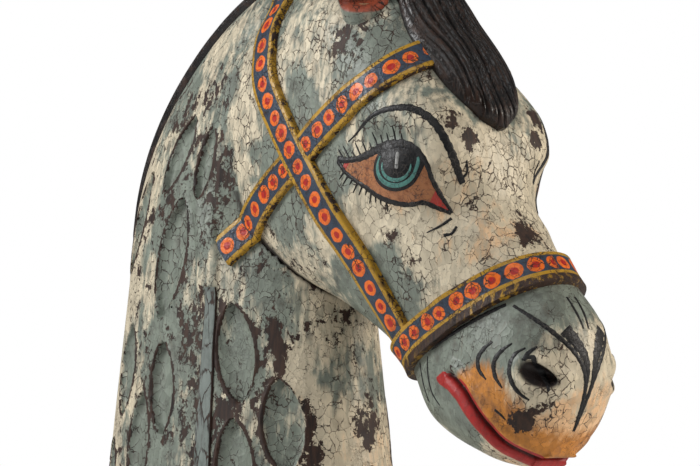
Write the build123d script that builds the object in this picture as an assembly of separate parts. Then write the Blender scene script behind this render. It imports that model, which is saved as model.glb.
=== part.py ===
"""Carved and painted wooden horse head bust, glued up from separate blocks.

Millimetres, +Z up. The origin is the middle of the flat cut face that the neck stands on.
The horse looks along -Y, so its own right side is at -X.
"""

import os
from math import cos, hypot, pi, radians, sin

from build123d import *

os.makedirs("parts", exist_ok=True)

# ---------------------------------------------------------------- driving dimensions
JOINT_FORWARD = 18.0        # the glue plane between the rear and the front neck blocks
COLLAR_HEIGHT = 222.0       # where the front neck block ends, inside the jowl
NECK_PIVOT = (125.0, 190.0)  # forward and up: the throat point that the arched neck bends round

FACE_SLOPE = radians(62.0)   # the face line, below the horizontal
HEAD_ORIGIN = (100.0, 300.0)  # forward and up
MUZZLE_JOINT = 161.0         # along the head, hidden below the noseband

STRAP_THICK = 3.6
STRAP_WIDTH = 18.0
NOSEBAND_WIDTH = 21.0
MANE_HEIGHT = 5.5
MANE_WIDTH = 19.0
FORELOCK_HEIGHT = 9.0
SEAM_STRIP_HEIGHT = 2.2

DOWEL_RADIUS = 5.0
SMALL_DOWEL_RADIUS = 4.0
DOWEL_LENGTH = 50.0
EAR_TENON_RADIUS = 5.0

FAR = 400.0                  # longer than anything in the bust
RING_POINTS = 14

# Sections of the upright neck: height, rear and front edge, half width, rear and front roundness.
NECK_COLUMN = [
    (0.0, -116.0, 112.0, 66.0, 1.9, 2.2),
    (95.0, -105.0, 99.0, 59.0, 1.9, 2.2),
    (190.0, -93.0, 88.0, 51.0, 1.85, 2.2),
]
# Sections of the bent neck: degrees round the pivot, inner and outer radius, half width,
# outer and inner roundness.
NECK_ARCH = [
    (0.0, 37.0, 218.0, 51.0, 1.85, 2.2),
    (20.0, 36.0, 216.0, 47.0, 1.8, 2.2),
    (40.0, 40.0, 210.0, 43.0, 1.75, 2.2),
    (60.0, 48.0, 205.0, 38.0, 1.8, 2.2),
    (78.0, 58.0, 199.0, 33.0, 1.8, 2.2),
    (96.0, 70.0, 184.0, 27.0, 1.8, 2.2),
]
# Sections of the head: place along it, jaw and face edge, half width, where it is widest,
# jaw and face roundness.
HEAD_SECTIONS = [
    (-74.0, -60.0, 30.0, 14.0, 0.0, 2.0, 2.0),
    (-62.0, -92.0, 52.0, 30.0, 5.0, 2.2, 2.1),
    (-40.0, -112.0, 68.0, 43.0, 15.0, 2.6, 2.2),
    (0.0, -120.0, 78.0, 51.0, 25.0, 2.8, 2.3),
    (35.0, -115.0, 85.0, 55.0, 35.0, 2.9, 2.6),
    (70.0, -90.0, 86.0, 57.0, 42.0, 2.9, 2.7),
    (110.0, -57.0, 76.0, 48.0, 36.0, 2.8, 2.3),
    (160.0, -31.0, 86.0, 38.5, 30.0, 2.6, 2.2),
    (205.0, -25.0, 93.0, 42.0, 36.0, 2.5, 2.3),
    (232.0, -6.0, 81.0, 39.0, 38.0, 2.3, 2.3),
    (248.0, 9.0, 61.0, 29.0, 37.0, 2.2, 2.1),
    (258.0, 22.0, 45.0, 13.0, 34.0, 2.0, 2.0),
]

# Strap centre lines on the side of the head, as forward and up.
CROSSING = (95.0, 264.0)
CROWN_LINE = [CROSSING, (71.0, 294.0), (55.0, 326.0), (50.0, 358.0), (52.0, 400.0)]
BROW_LINE = [CROSSING, (136.0, 295.0), (180.0, 324.0)]
THROAT_LINE = [CROSSING, (61.0, 239.0), (24.0, 208.0)]
CHEEK_LINE = [CROSSING, (118.0, 236.0), (140.0, 203.0), (163.0, 160.0)]

EAR_ROOT = (131.0, 352.0)    # forward and up
EAR_SIDE = 35.0
EAR_LEAN = (0.16, 0.10)      # outwards and forwards, for one unit up
EAR_MOUTH = (0.75, 0.66)     # the hollow faces outwards and forwards
# Sections of an ear: height above its root, half width, half depth.
EAR_SECTIONS = [
    (-6.0, 13.0, 9.0),
    (8.0, 16.0, 11.0),
    (26.0, 17.5, 11.5),
    (46.0, 13.5, 9.0),
    (62.0, 7.0, 5.5),
    (72.0, 1.6, 1.6),
]
EAR_HOLLOW_WIDTH = 0.68      # the hollow's share of the ear's width
EAR_HOLLOW_SHIFT = 0.75      # how far its middle stands out, as a share of the half depth
TENON_BELOW = 26.0
TENON_ABOVE = 4.0

# Front view of the forelock leaf, as side and up; the crest strip's lower and front ends.
FORELOCK_LEAF = [
    (-25.0, 400.0), (25.0, 400.0), (27.0, 345.0), (24.0, 315.0), (15.0, 292.0),
    (3.0, 276.0), (-3.0, 276.0), (-15.0, 292.0), (-24.0, 315.0), (-27.0, 345.0),
]
MANE_LOWER_END = 205.0
MANE_FRONT_END = 120.0

# Side view of the raised strip over the neck's glue line, as forward and up.
SEAM_OUTLINE = [(10.0, 0.0), (27.0, 0.0), (23.0, 189.0), (15.0, 189.0)]

# Pin places: heights in the neck, the pair in the collar, the four that join the head halves
# (along and out, in head coordinates) and the pair behind the muzzle.
NECK_PIN_HEIGHTS = (30.0, 90.0, 150.0)
COLLAR_PIN_FORWARD = 60.0
COLLAR_PIN_SIDE = 24.0
HEAD_PIN_PLACES = ((0.0, 30.0), (70.0, 40.0), (70.0, -30.0), (130.0, 30.0))
MUZZLE_PIN_SIDE = 15.0
MUZZLE_PIN_OUT = 34.0


# ---------------------------------------------------------------- frames and section curves
def place(side, forward, up):
    """A point from side, forward and up, in the bust's own frame."""
    return Vector(side, -forward, up)


def head_place(side, along, out):
    """A point from head coordinates: along the face line, and out from it."""
    forward = HEAD_ORIGIN[0] + along * cos(FACE_SLOPE) + out * sin(FACE_SLOPE)
    up = HEAD_ORIGIN[1] - along * sin(FACE_SLOPE) + out * cos(FACE_SLOPE)
    return place(side, forward, up)


def arch_place(side, angle, radius):
    """A point of the arched neck, from its angle and distance round the throat pivot."""
    forward = NECK_PIVOT[0] - radius * cos(radians(angle))
    up = NECK_PIVOT[1] + radius * sin(radians(angle))
    return place(side, forward, up)


def ring(low, high, half_width, widest, low_power, high_power):
    """An egg-shaped section: pairs of side and depth, round from the widest point."""
    points = []
    for step in range(RING_POINTS):
        angle = 2 * pi * step / RING_POINTS
        c, s = cos(angle), sin(angle)
        power = high_power if s >= 0 else low_power
        reach = (high - widest) if s >= 0 else (widest - low)
        side = half_width * abs(c) ** (2 / power) * (1 if c >= 0 else -1)
        depth = widest + reach * abs(s) ** (2 / power) * (1 if s >= 0 else -1)
        points.append((side, depth))
    return points


def loft_rings(rings):
    """One smooth solid through closed curves of points."""
    wires = [Wire([Edge.make_spline(points, periodic=True)]) for points in rings]
    return Solid.make_loft(wires)


def neck_column(extra=0.0):
    """The upright part of the neck, grown outwards by extra."""
    rings = []
    for up, rear, front, half, rear_power, front_power in NECK_COLUMN:
        pairs = ring(rear - extra, front + extra, half + extra, (rear + front) / 2,
                     rear_power, front_power)
        rings.append([place(side, forward, up) for side, forward in pairs])
    return loft_rings(rings)


def neck_arch(extra=0.0):
    """The part of the neck that bends over towards the ears, grown outwards by extra."""
    rings = []
    for angle, inner, outer, half, outer_power, inner_power in NECK_ARCH:
        pairs = ring(-outer - extra, -inner + extra, half + extra, -(inner + outer) / 2,
                     outer_power, inner_power)
        rings.append([arch_place(side, angle, -depth) for side, depth in pairs])
    return loft_rings(rings)


def head_solid(extra=0.0):
    """The whole head from behind the ears to the lips, grown outwards by extra."""
    rings = []
    for along, jaw, face, half, widest, jaw_power, face_power in HEAD_SECTIONS:
        pairs = ring(jaw - extra, face + extra, half + extra, widest, jaw_power, face_power)
        rings.append([head_place(side, along, out) for side, out in pairs])
    return loft_rings(rings)


def slab(forward_low, forward_high, up_low, up_high, side_low=-FAR, side_high=FAR):
    """A box from its limits in forward, up and side."""
    size = (side_high - side_low, forward_high - forward_low, up_high - up_low)
    middle = place((side_low + side_high) / 2, (forward_low + forward_high) / 2,
                   (up_low + up_high) / 2)
    return Pos(*middle) * Box(*size)


def side_prism(outline, side_low=-FAR, side_high=FAR):
    """A solid with the given side-view outline, between two side limits."""
    face = Face(Wire.make_polygon([place(side_low, f, u) for f, u in outline], close=True))
    return Solid.extrude(face, Vector(side_high - side_low, 0, 0))


def band_outline(line, width):
    """The outline of a strap of the given width along a centre line."""
    left, right = [], []
    for i, (forward, up) in enumerate(line):
        before = line[max(i - 1, 0)]
        after = line[min(i + 1, len(line) - 1)]
        run = (after[0] - before[0], after[1] - before[1])
        size = hypot(*run)
        across = (-run[1] / size * width / 2, run[0] / size * width / 2)
        left.append((forward + across[0], up + across[1]))
        right.append((forward - across[0], up - across[1]))
    return left + right[::-1]


def dowel(start, end, radius):
    """A round pin between two points."""
    way = end - start
    return Solid.make_cylinder(radius, way.length, Plane(origin=start, z_dir=way))


def solids_of(shape, smallest=60.0):
    """The separate solids of a result, without boolean crumbs."""
    return [s for s in shape.solids() if s.volume > smallest]


def save(name, shape):
    """Writes one sub-part as parts/NAME.step."""
    kept = solids_of(shape)
    body = kept[0] if len(kept) == 1 else Compound(children=kept)
    body.label = name
    export_step(body, f"parts/{name}.step")
    print(name, len(kept), round(sum(s.volume for s in kept) / 1000, 1), "cm3")


# ---------------------------------------------------------------- whole forms
neck = neck_column() + neck_arch()
head = head_solid()
front_space = slab(JOINT_FORWARD, FAR, -FAR, FAR)
collar_space = slab(JOINT_FORWARD, FAR, COLLAR_HEIGHT, FAR)

front_head = (head & front_space) + (neck_arch() & collar_space)
rear_block = (neck - front_space) + (head - front_space)
front_neck = (neck & slab(JOINT_FORWARD, FAR, -FAR, COLLAR_HEIGHT)) - head

# ---------------------------------------------------------------- pins between the blocks
neck_pins = [
    dowel(place(0, JOINT_FORWARD - DOWEL_LENGTH / 2, up),
          place(0, JOINT_FORWARD + DOWEL_LENGTH / 2, up), DOWEL_RADIUS)
    for up in NECK_PIN_HEIGHTS
]
collar_pins = [
    dowel(place(side, COLLAR_PIN_FORWARD, COLLAR_HEIGHT - DOWEL_LENGTH / 2),
          place(side, COLLAR_PIN_FORWARD, COLLAR_HEIGHT + DOWEL_LENGTH / 2), DOWEL_RADIUS)
    for side in (-COLLAR_PIN_SIDE, COLLAR_PIN_SIDE)
]
head_pins = [
    dowel(head_place(-DOWEL_LENGTH / 2, along, out),
          head_place(DOWEL_LENGTH / 2, along, out), SMALL_DOWEL_RADIUS)
    for along, out in HEAD_PIN_PLACES
]
muzzle_pins = [
    dowel(head_place(side, MUZZLE_JOINT - DOWEL_LENGTH / 2, MUZZLE_PIN_OUT),
          head_place(side, MUZZLE_JOINT + DOWEL_LENGTH / 2, MUZZLE_PIN_OUT), SMALL_DOWEL_RADIUS)
    for side in (-MUZZLE_PIN_SIDE, MUZZLE_PIN_SIDE)
]

# ---------------------------------------------------------------- ears, each with a tenon


def ear_parts(hand):
    """One ear and its tenon, for hand -1 (right) or 1 (left)."""
    root = place(hand * EAR_SIDE, *EAR_ROOT)
    lean = Vector(hand * EAR_LEAN[0], -EAR_LEAN[1], 1.0).normalized()
    mouth = Vector(hand * EAR_MOUTH[0], -EAR_MOUTH[1], 0.0)
    mouth = (mouth - lean * mouth.dot(lean)).normalized()
    plane = Plane(origin=root, x_dir=lean.cross(mouth), z_dir=lean)
    wires = [
        Wire.make_ellipse(wide, deep, plane.offset(up)) for up, wide, deep in EAR_SECTIONS
    ]
    shell = Solid.make_loft(wires)
    scoop_wires = []
    for up, wide, deep in EAR_SECTIONS[1:-1]:
        middle = plane.offset(up).origin + mouth * deep * EAR_HOLLOW_SHIFT
        scoop_plane = Plane(middle, x_dir=lean.cross(mouth), z_dir=lean)
        scoop_wires.append(Wire.make_ellipse(wide * EAR_HOLLOW_WIDTH, deep, scoop_plane))
    ear = shell - Solid.make_loft(scoop_wires)
    tenon = dowel(root - lean * TENON_BELOW, root + lean * TENON_ABOVE, EAR_TENON_RADIUS)
    return ear, tenon


right_ear, right_tenon = ear_parts(-1)
left_ear, left_tenon = ear_parts(1)

# ---------------------------------------------------------------- applied relief
strap_arch = neck_arch(STRAP_THICK)
strap_head = head_solid(STRAP_THICK)


def relief(space, outer_forms):
    """What lies inside a space and above the carved surface, up to the outer forms."""
    layers = [form & space for form in outer_forms]
    made = layers[0]
    for layer in layers[1:]:
        made = made + layer
    return made - neck - head


def head_outline(corners):
    """A side-view outline given in head coordinates."""
    points = [head_place(0, along, out) for along, out in corners]
    return [(-point.Y, point.Z) for point in points]


band_start = MUZZLE_JOINT - NOSEBAND_WIDTH / 2
band_end = MUZZLE_JOINT + NOSEBAND_WIDTH / 2
noseband_space = side_prism(head_outline(
    [(band_start, -FAR), (band_end, -FAR), (band_end, FAR), (band_start, FAR)]))
noseband = relief(noseband_space, [strap_head])

forelock_face = Face(Wire.make_polygon(
    [place(side, MANE_FRONT_END, up) for side, up in FORELOCK_LEAF], close=True))
forelock = relief(Solid.extrude(forelock_face, Vector(0, -FAR, 0)), [head_solid(FORELOCK_HEIGHT)])
forelock = forelock - right_ear - left_ear

mane_space = slab(-FAR, MANE_FRONT_END, MANE_LOWER_END, FAR, -MANE_WIDTH / 2, MANE_WIDTH / 2)
mane = relief(mane_space, [neck_arch(MANE_HEIGHT), head_solid(MANE_HEIGHT)])


def strap(line, side_limits, covers):
    """One strap on one side of the head, trimmed where other pieces lie over it."""
    band = side_prism(band_outline(line, STRAP_WIDTH), *side_limits)
    made = relief(band & front_space, [strap_arch, strap_head])
    for cover in covers:
        made = made - cover
    return made


pieces = {}
seam_column = neck_column(SEAM_STRIP_HEIGHT)
cheek_space = side_prism(band_outline(CHEEK_LINE, STRAP_WIDTH))
brow_space = side_prism(band_outline(BROW_LINE, STRAP_WIDTH))
for name, limits in (("right", (-FAR, 0.0)), ("left", (0.0, FAR))):
    crown = strap(CROWN_LINE, limits, [mane, cheek_space, brow_space])
    pieces[f"{name}_crown_strap"] = crown
    pieces[f"{name}_cheek_strap"] = strap(CHEEK_LINE, limits, [noseband])
    brow_covers = [forelock, cheek_space, right_ear, left_ear]
    pieces[f"{name}_brow_strap"] = strap(BROW_LINE, limits, brow_covers)
    pieces[f"{name}_throat_strap"] = strap(THROAT_LINE, limits, [cheek_space, brow_space, crown])
    pieces[f"{name}_seam_strip"] = (seam_column & side_prism(SEAM_OUTLINE, *limits)) - neck

# ---------------------------------------------------------------- head block, parted and bored
muzzle_space = side_prism(head_outline(
    [(MUZZLE_JOINT, -FAR), (MUZZLE_JOINT, FAR), (FAR, FAR), (FAR, -FAR)]))


def bored(shape, pins):
    """The block with its pin holes and ear sockets cut."""
    for pin in pins:
        shape = shape - pin
    return shape


muzzle = bored(front_head & muzzle_space, muzzle_pins)
skull = bored(front_head - muzzle_space - right_ear - left_ear,
              collar_pins + head_pins + muzzle_pins + [right_tenon, left_tenon])
pieces["muzzle_block"] = muzzle
pieces["head_right_half"] = skull & slab(-FAR, FAR, -FAR, FAR, -FAR, 0.0)
pieces["head_left_half"] = skull & slab(-FAR, FAR, -FAR, FAR, 0.0, FAR)
pieces["neck_front_block"] = bored(front_neck, neck_pins + collar_pins)
pieces["neck_rear_block"] = bored(rear_block, neck_pins)
pieces["right_ear"] = right_ear - right_tenon
pieces["left_ear"] = left_ear - left_tenon
pieces["ear_tenons"] = Compound(children=[right_tenon, left_tenon])
pieces["forelock"] = forelock
pieces["mane_crest"] = mane
pieces["noseband"] = noseband
pieces["neck_dowels"] = Compound(children=neck_pins)
pieces["collar_dowels"] = Compound(children=collar_pins)
pieces["head_dowels"] = Compound(children=head_pins)
pieces["muzzle_dowels"] = Compound(children=muzzle_pins)

for name, shape in pieces.items():
    save(name, shape)
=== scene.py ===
"""A carved and painted wooden horse head on its neck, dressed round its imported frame.

Objects are in metres. The carver's tables are in millimetres and are scaled once, when a mesh is
made. X is the horse's left side, -Y is forward and Z is up.
"""

import math

import bmesh
import bpy
import numpy as np
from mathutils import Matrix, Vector


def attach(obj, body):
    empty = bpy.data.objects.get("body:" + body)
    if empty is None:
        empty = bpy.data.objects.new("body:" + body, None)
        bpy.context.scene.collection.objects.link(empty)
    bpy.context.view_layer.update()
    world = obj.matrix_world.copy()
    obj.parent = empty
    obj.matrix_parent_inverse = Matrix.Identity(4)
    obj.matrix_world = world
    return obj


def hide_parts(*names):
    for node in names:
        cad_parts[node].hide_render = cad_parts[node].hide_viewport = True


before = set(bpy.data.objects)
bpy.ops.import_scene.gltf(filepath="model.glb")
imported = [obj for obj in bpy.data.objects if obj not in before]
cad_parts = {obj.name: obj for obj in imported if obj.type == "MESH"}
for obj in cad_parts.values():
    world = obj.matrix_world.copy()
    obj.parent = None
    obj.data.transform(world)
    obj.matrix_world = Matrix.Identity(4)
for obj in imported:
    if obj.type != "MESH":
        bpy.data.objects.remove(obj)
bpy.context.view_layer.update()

# ------------------------------------------------------------------ the carved form
# The bust is glued up from hardwood blocks and then carved as one shape: a round upright neck,
# an arched crest and a long wedge of a head. These sections are the carver's templates; every
# block, strap and brush mark below is measured from the surface that they give.

MM = 0.001
# height, rear and front edge, half width, rear and front roundness
NECK_COLUMN = np.array([
    (0.0, -116.0, 112.0, 66.0, 1.9, 2.2),
    (95.0, -105.0, 99.0, 59.0, 1.9, 2.2),
    (190.0, -93.0, 88.0, 51.0, 1.85, 2.2),
])
# degrees round the throat, inner and outer radius, half width, outer and inner roundness
NECK_ARCH = np.array([
    (0.0, 37.0, 218.0, 51.0, 1.85, 2.2),
    (20.0, 36.0, 216.0, 47.0, 1.8, 2.2),
    (40.0, 40.0, 210.0, 43.0, 1.75, 2.2),
    (60.0, 48.0, 205.0, 38.0, 1.8, 2.2),
    (78.0, 58.0, 199.0, 33.0, 1.8, 2.2),
    (96.0, 70.0, 184.0, 27.0, 1.8, 2.2),
])
# place along the head, jaw and face edge, half width, widest place, jaw and face roundness
HEAD_SECTIONS = np.array([
    (-74.0, -60.0, 30.0, 14.0, 0.0, 2.0, 2.0),
    (-62.0, -92.0, 52.0, 30.0, 5.0, 2.2, 2.1),
    (-40.0, -112.0, 68.0, 43.0, 15.0, 2.6, 2.2),
    (0.0, -120.0, 78.0, 51.0, 25.0, 2.8, 2.3),
    (35.0, -115.0, 85.0, 55.0, 35.0, 2.9, 2.6),
    (70.0, -90.0, 86.0, 57.0, 42.0, 2.9, 2.7),
    (110.0, -57.0, 76.0, 48.0, 36.0, 2.8, 2.3),
    (160.0, -31.0, 86.0, 38.5, 30.0, 2.6, 2.2),
    (205.0, -25.0, 93.0, 42.0, 36.0, 2.5, 2.3),
    (232.0, -6.0, 81.0, 39.0, 38.0, 2.3, 2.3),
    (248.0, 9.0, 61.0, 29.0, 37.0, 2.2, 2.1),
    (258.0, 22.0, 45.0, 13.0, 34.0, 2.0, 2.0),
])
THROAT_PIVOT = (125.0, 190.0)
HEAD_ORIGIN = (100.0, 300.0)
FACE_SLOPE = math.radians(62.0)
HEAD_AXIS_OUT = 35.0
JOINT_FORWARD = 18.0
COLLAR_HEIGHT = 222.0
MUZZLE_JOINT = 161.0


def along_table(table, place):
    """Smoothly interpolated columns of a section table."""
    knots, values = table[:, 0], table[:, 1:]
    slopes = np.gradient(values, knots, axis=0)
    row = np.clip(np.searchsorted(knots, place) - 1, 0, len(knots) - 2)
    gap = knots[row + 1] - knots[row]
    s = np.clip((place - knots[row]) / gap, 0, 1)[:, None]
    gap = gap[:, None]
    start = (2 * s**3 - 3 * s**2 + 1) * values[row] + (s**3 - 2 * s**2 + s) * gap * slopes[row]
    end = (3 * s**2 - 2 * s**3) * values[row + 1] + (s**3 - s**2) * gap * slopes[row + 1]
    return (start + end).T


def section_distance(across, depth, low, high, half, widest, low_power, high_power):
    """How far a point lies outside an egg-shaped section, negative inside."""
    upper = depth >= widest
    reach = np.where(upper, high - widest, widest - low)
    power = np.where(upper, high_power, low_power)
    size = (np.abs(across) / half) ** power + (np.abs(depth - widest) / reach) ** power
    size = np.maximum(size, 1e-9) ** (1 / power)
    return np.hypot(across, depth - widest) * (1 - 1 / size)


def step_up(value, start, end):
    """0 before start, 1 after end, and smooth between."""
    s = np.clip((value - start) / (end - start), 0, 1)
    return s * s * (3 - 2 * s)


def dome(radius_share):
    """1 at the middle, falling smoothly to 0 at 1."""
    return np.clip(1 - radius_share**2, 0, 1) ** 2


def to_head(forward, up):
    """Side-view coordinates of the head: along the face line, and out from it."""
    f, u = forward - HEAD_ORIGIN[0], up - HEAD_ORIGIN[1]
    along = f * math.cos(FACE_SLOPE) - u * math.sin(FACE_SLOPE)
    return along, f * math.sin(FACE_SLOPE) + u * math.cos(FACE_SLOPE)


def from_head(along, out):
    """Forward and up of a place given in head coordinates."""
    forward = HEAD_ORIGIN[0] + along * math.cos(FACE_SLOPE) + out * math.sin(FACE_SLOPE)
    return forward, HEAD_ORIGIN[1] - along * math.sin(FACE_SLOPE) + out * math.cos(FACE_SLOPE)


def polyline_distance(a, b, line):
    """Distance from points (a, b) to a line of (a, b) corners, and the share along it."""
    best, share = np.full(np.shape(a), 1e9), np.zeros(np.shape(a))
    total = len(line) - 1
    for i in range(total):
        (a0, b0), (a1, b1) = line[i], line[i + 1]
        run = np.array([a1 - a0, b1 - b0])
        s = np.clip(((a - a0) * run[0] + (b - b0) * run[1]) / (run @ run), 0, 1)
        d = np.hypot(a - a0 - s * run[0], b - b0 - s * run[1])
        share = np.where(d < best, (i + s) / total, share)
        best = np.minimum(d, best)
    return best, share


# Gouged leaves on the neck: forward and up of the middle, half length, half width, lean, depth.
LEAVES = [
    (-21.0, 267.0, 25.0, 8.0, 28.0, 2.6), (6.0, 262.0, 22.0, 6.0, 12.0, 2.0),
    (-19.0, 205.0, 37.0, 12.5, 12.0, 3.0), (-63.0, 226.0, 33.0, 8.0, 20.0, 2.4),
    (-64.0, 138.0, 28.0, 11.0, 8.0, 2.8), (-20.0, 128.0, 28.0, 10.5, -4.0, 2.8),
    (-42.0, 92.0, 33.0, 11.0, 4.0, 2.8), (38.0, 149.0, 30.0, 13.0, -10.0, 2.8),
    (42.0, 80.0, 30.0, 12.5, -6.0, 2.8), (70.0, 106.0, 28.0, 11.5, -9.0, 2.6),
    (105.0, 112.0, 34.0, 7.0, -4.0, 1.8), (-84.0, 70.0, 27.0, 12.0, 6.0, 2.6),
    (-12.0, 50.0, 27.0, 11.0, 0.0, 2.8), (-60.0, 26.0, 22.0, 12.0, 4.0, 2.6),
    (-24.0, 4.0, 22.0, 11.0, 0.0, 2.6), (45.0, 14.0, 28.0, 15.0, -3.0, 2.8),
    (80.0, 38.0, 28.0, 13.0, -4.0, 2.6), (-34.0, 316.0, 22.0, 7.0, 42.0, 2.2),
]
MOUTH_LINE = [(189.0, 14.0), (196.0, 20.5), (207.0, 25.0), (220.0, 27.5), (232.0, 29.5),
              (246.0, 31.5), (260.0, 35.0)]
NOSTRIL = (34.0, 222.0, 73.0)


def leaf_depth(side, forward, up):
    """How deep the gouged leaves are here, and how near their rims (1 on a rim)."""
    depth, rim = np.zeros(np.shape(side)), np.zeros(np.shape(side))
    for f, u, length, width, lean, cut in LEAVES:
        angle = math.radians(lean)
        run = ((up - u) * math.cos(angle) + (forward - f) * math.sin(angle)) / length
        off = (forward - f) * math.cos(angle) - (up - u) * math.sin(angle)
        reach = width * np.clip(1 - run**2, 1e-4, 1) ** 0.75
        share = np.where(np.abs(run) < 1, np.abs(off) / reach, 9.0)
        depth = np.maximum(depth, 1.7 * cut * np.clip(1 - share**3, 0, 1))
        gap = np.hypot(np.maximum(np.abs(run) - 0.97, 0) * length, (share - 1) * reach)
        rim = np.maximum(rim, np.where(share < 3, np.clip(1 - gap / 3.2, 0, 1), 0))
    return depth, rim


def neck_distance(p):
    """Distance outside the carved neck, in millimetres."""
    side, forward, up = p[:, 0], -p[:, 1], p[:, 2]
    low, high, half, rear_power, front_power = along_table(NECK_COLUMN, up)
    column = section_distance(side, forward, low, high, half, (low + high) / 2,
                              rear_power, front_power)
    radius = np.hypot(THROAT_PIVOT[0] - forward, up - THROAT_PIVOT[1])
    angle = np.degrees(np.arctan2(up - THROAT_PIVOT[1], THROAT_PIVOT[0] - forward))
    inner, outer, half, outer_power, inner_power = along_table(NECK_ARCH, angle)
    arch = section_distance(side, -radius, -outer, -inner, half, -(inner + outer) / 2,
                            outer_power, inner_power)
    arch = np.maximum(arch, np.radians(angle - NECK_ARCH[-1, 0]) * radius)
    plain = np.where(up < THROAT_PIVOT[1], column, arch)
    panel = np.sin(np.pi * np.clip((forward - JOINT_FORWARD) / 52.0, 0, 1))
    panel = 4.5 * panel * step_up(up, 200.0, 232.0)
    depth, rim = leaf_depth(side, forward, up)
    off_middle = step_up(np.abs(side), 9.0, 20.0)
    ridge = polyline_distance(forward, up, [(16.0, 150.0), (14.0, 200.0), (5.0, 250.0)])[0]
    ridge = 2.6 * np.clip(1 - (ridge / 9.0) ** 4, 0, 1) * step_up(-up, -252.0, -215.0)
    cut = depth - 0.9 * rim * (depth < 0.1) - ridge * step_up(up, 180.0, 192.0)
    base = np.maximum(plain + cut * off_middle + panel, -up)
    return np.maximum(base, (plain - up) * 0.7 + 1.4)


def head_distance(p):
    """Distance outside the carved head, in millimetres."""
    side, forward, up = np.abs(p[:, 0]), -p[:, 1], p[:, 2]
    t, o = to_head(forward, up)
    low, high, half, widest, jaw_power, face_power = along_table(HEAD_SECTIONS, t)
    d = section_distance(side, o, low, high, half, widest, jaw_power, face_power)
    d = np.maximum(d, np.maximum(HEAD_SECTIONS[0, 0] - t, t - HEAD_SECTIONS[-1, 0]))
    # eyeball, the hollow round it, brow and the hollow at the inner corner
    eye = np.hypot((t - 77.0) / 27.0, (o - 42.0) / 25.0)
    d += np.where(side > 20, 2.6 * dome(eye / 1.9) - 5.6 * dome(eye), 0)
    brow = polyline_distance(t, o, [(36.0, 44.0), (42.0, 66.0), (58.0, 80.0), (78.0, 80.0)])[0]
    d -= np.where(side > 15, 4.2 * dome(np.hypot(brow, (side - 42.0) * 0.5) / 19.0), 0)
    corner = np.sqrt((t - 103.0) ** 2 + (o - 68.0) ** 2 + (side - 36.0) ** 2)
    d += 5.0 * dome(corner / 27.0)
    crest = polyline_distance(t, o, [(104.0, 20.0), (150.0, 34.0)])[0]
    d -= np.where(side > 15, 2.2 * dome(crest / 15.0), 0)
    # nostril: a swelling, a rim and a deep almond pit
    along_pit = (t - NOSTRIL[1]) * 0.93 + (o - NOSTRIL[2]) * 0.36
    across_pit = (o - NOSTRIL[2]) * 0.93 - (t - NOSTRIL[1]) * 0.36
    near = side > 12
    swell = np.hypot(along_pit / 24.0, np.hypot(across_pit, side - NOSTRIL[0]) / 20.0)
    pit = np.hypot(along_pit / 10.5, across_pit / 6.6)
    d += np.where(near, 9.0 * dome(pit) - 1.4 * dome((pit - 1.2) / 0.5) - 0.6 * dome(swell), 0)
    # mouth: a deep line with full lips on both sides
    mouth, share = polyline_distance(t, o, MOUTH_LINE)
    fade = step_up(share, 0.0, 0.12)
    d += fade * (3.6 * dome(mouth / 2.4) - 1.9 * dome((mouth - 6.0) / 5.0))
    return d


def blended(a, b, radius):
    """The union of two forms, with a fillet between them."""
    h = np.clip(0.5 + 0.5 * (b - a) / radius, 0, 1)
    return b + (a - b) * h - radius * h * (1 - h)


def whole_form(p):
    """Head and neck together. The jaw stands proud of the neck; higher up they flow together."""
    flow = 0.8 + 13.0 * step_up(p[:, 2], 238.0, 300.0)
    return blended(head_distance(p), neck_distance(p), flow)


def head_form(p):
    """The head with the arched part of the neck above the collar joint."""
    flow = 0.8 + 13.0 * step_up(p[:, 2], 238.0, 300.0)
    arched = np.maximum(neck_distance(p), COLLAR_HEIGHT - p[:, 2])
    return blended(head_distance(p), arched, flow)


def front_neck_form(p):
    """The front of the neck, hollowed where the head block sits on it."""
    return np.maximum(neck_distance(p), -head_distance(p))


def gradient(form, p, reach=0.25):
    """Outward direction of a form at many points, from four samples around each."""
    corners = np.array([(1, -1, -1), (-1, -1, 1), (-1, 1, -1), (1, 1, 1)], float)
    return sum(c * form(p + c * reach)[:, None] for c in corners) / (4 * reach)


def settle(form, p, steps=4, most=2.0):
    """Moves points on to a form's surface."""
    for _ in range(steps):
        g = gradient(form, p)
        move = form(p)[:, None] * g / np.maximum((g * g).sum(1), 0.05)[:, None]
        size = np.linalg.norm(move, axis=1)[:, None]
        p = p - move * np.minimum(1, most / np.maximum(size, 1e-9))
    return p


# ------------------------------------------------------------------ the five hardwood blocks
# The neck is two blocks glued on an upright plane, the head is split down the middle of the face
# and its muzzle is a separate block whose joint the noseband hides. Each is meshed from the
# carved form on a fine lattice, refined, and sawn along the true joint planes.

CELL = 2.4
REAR_CELL = 2.7
MUZZLE_CELL = 1.8


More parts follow.
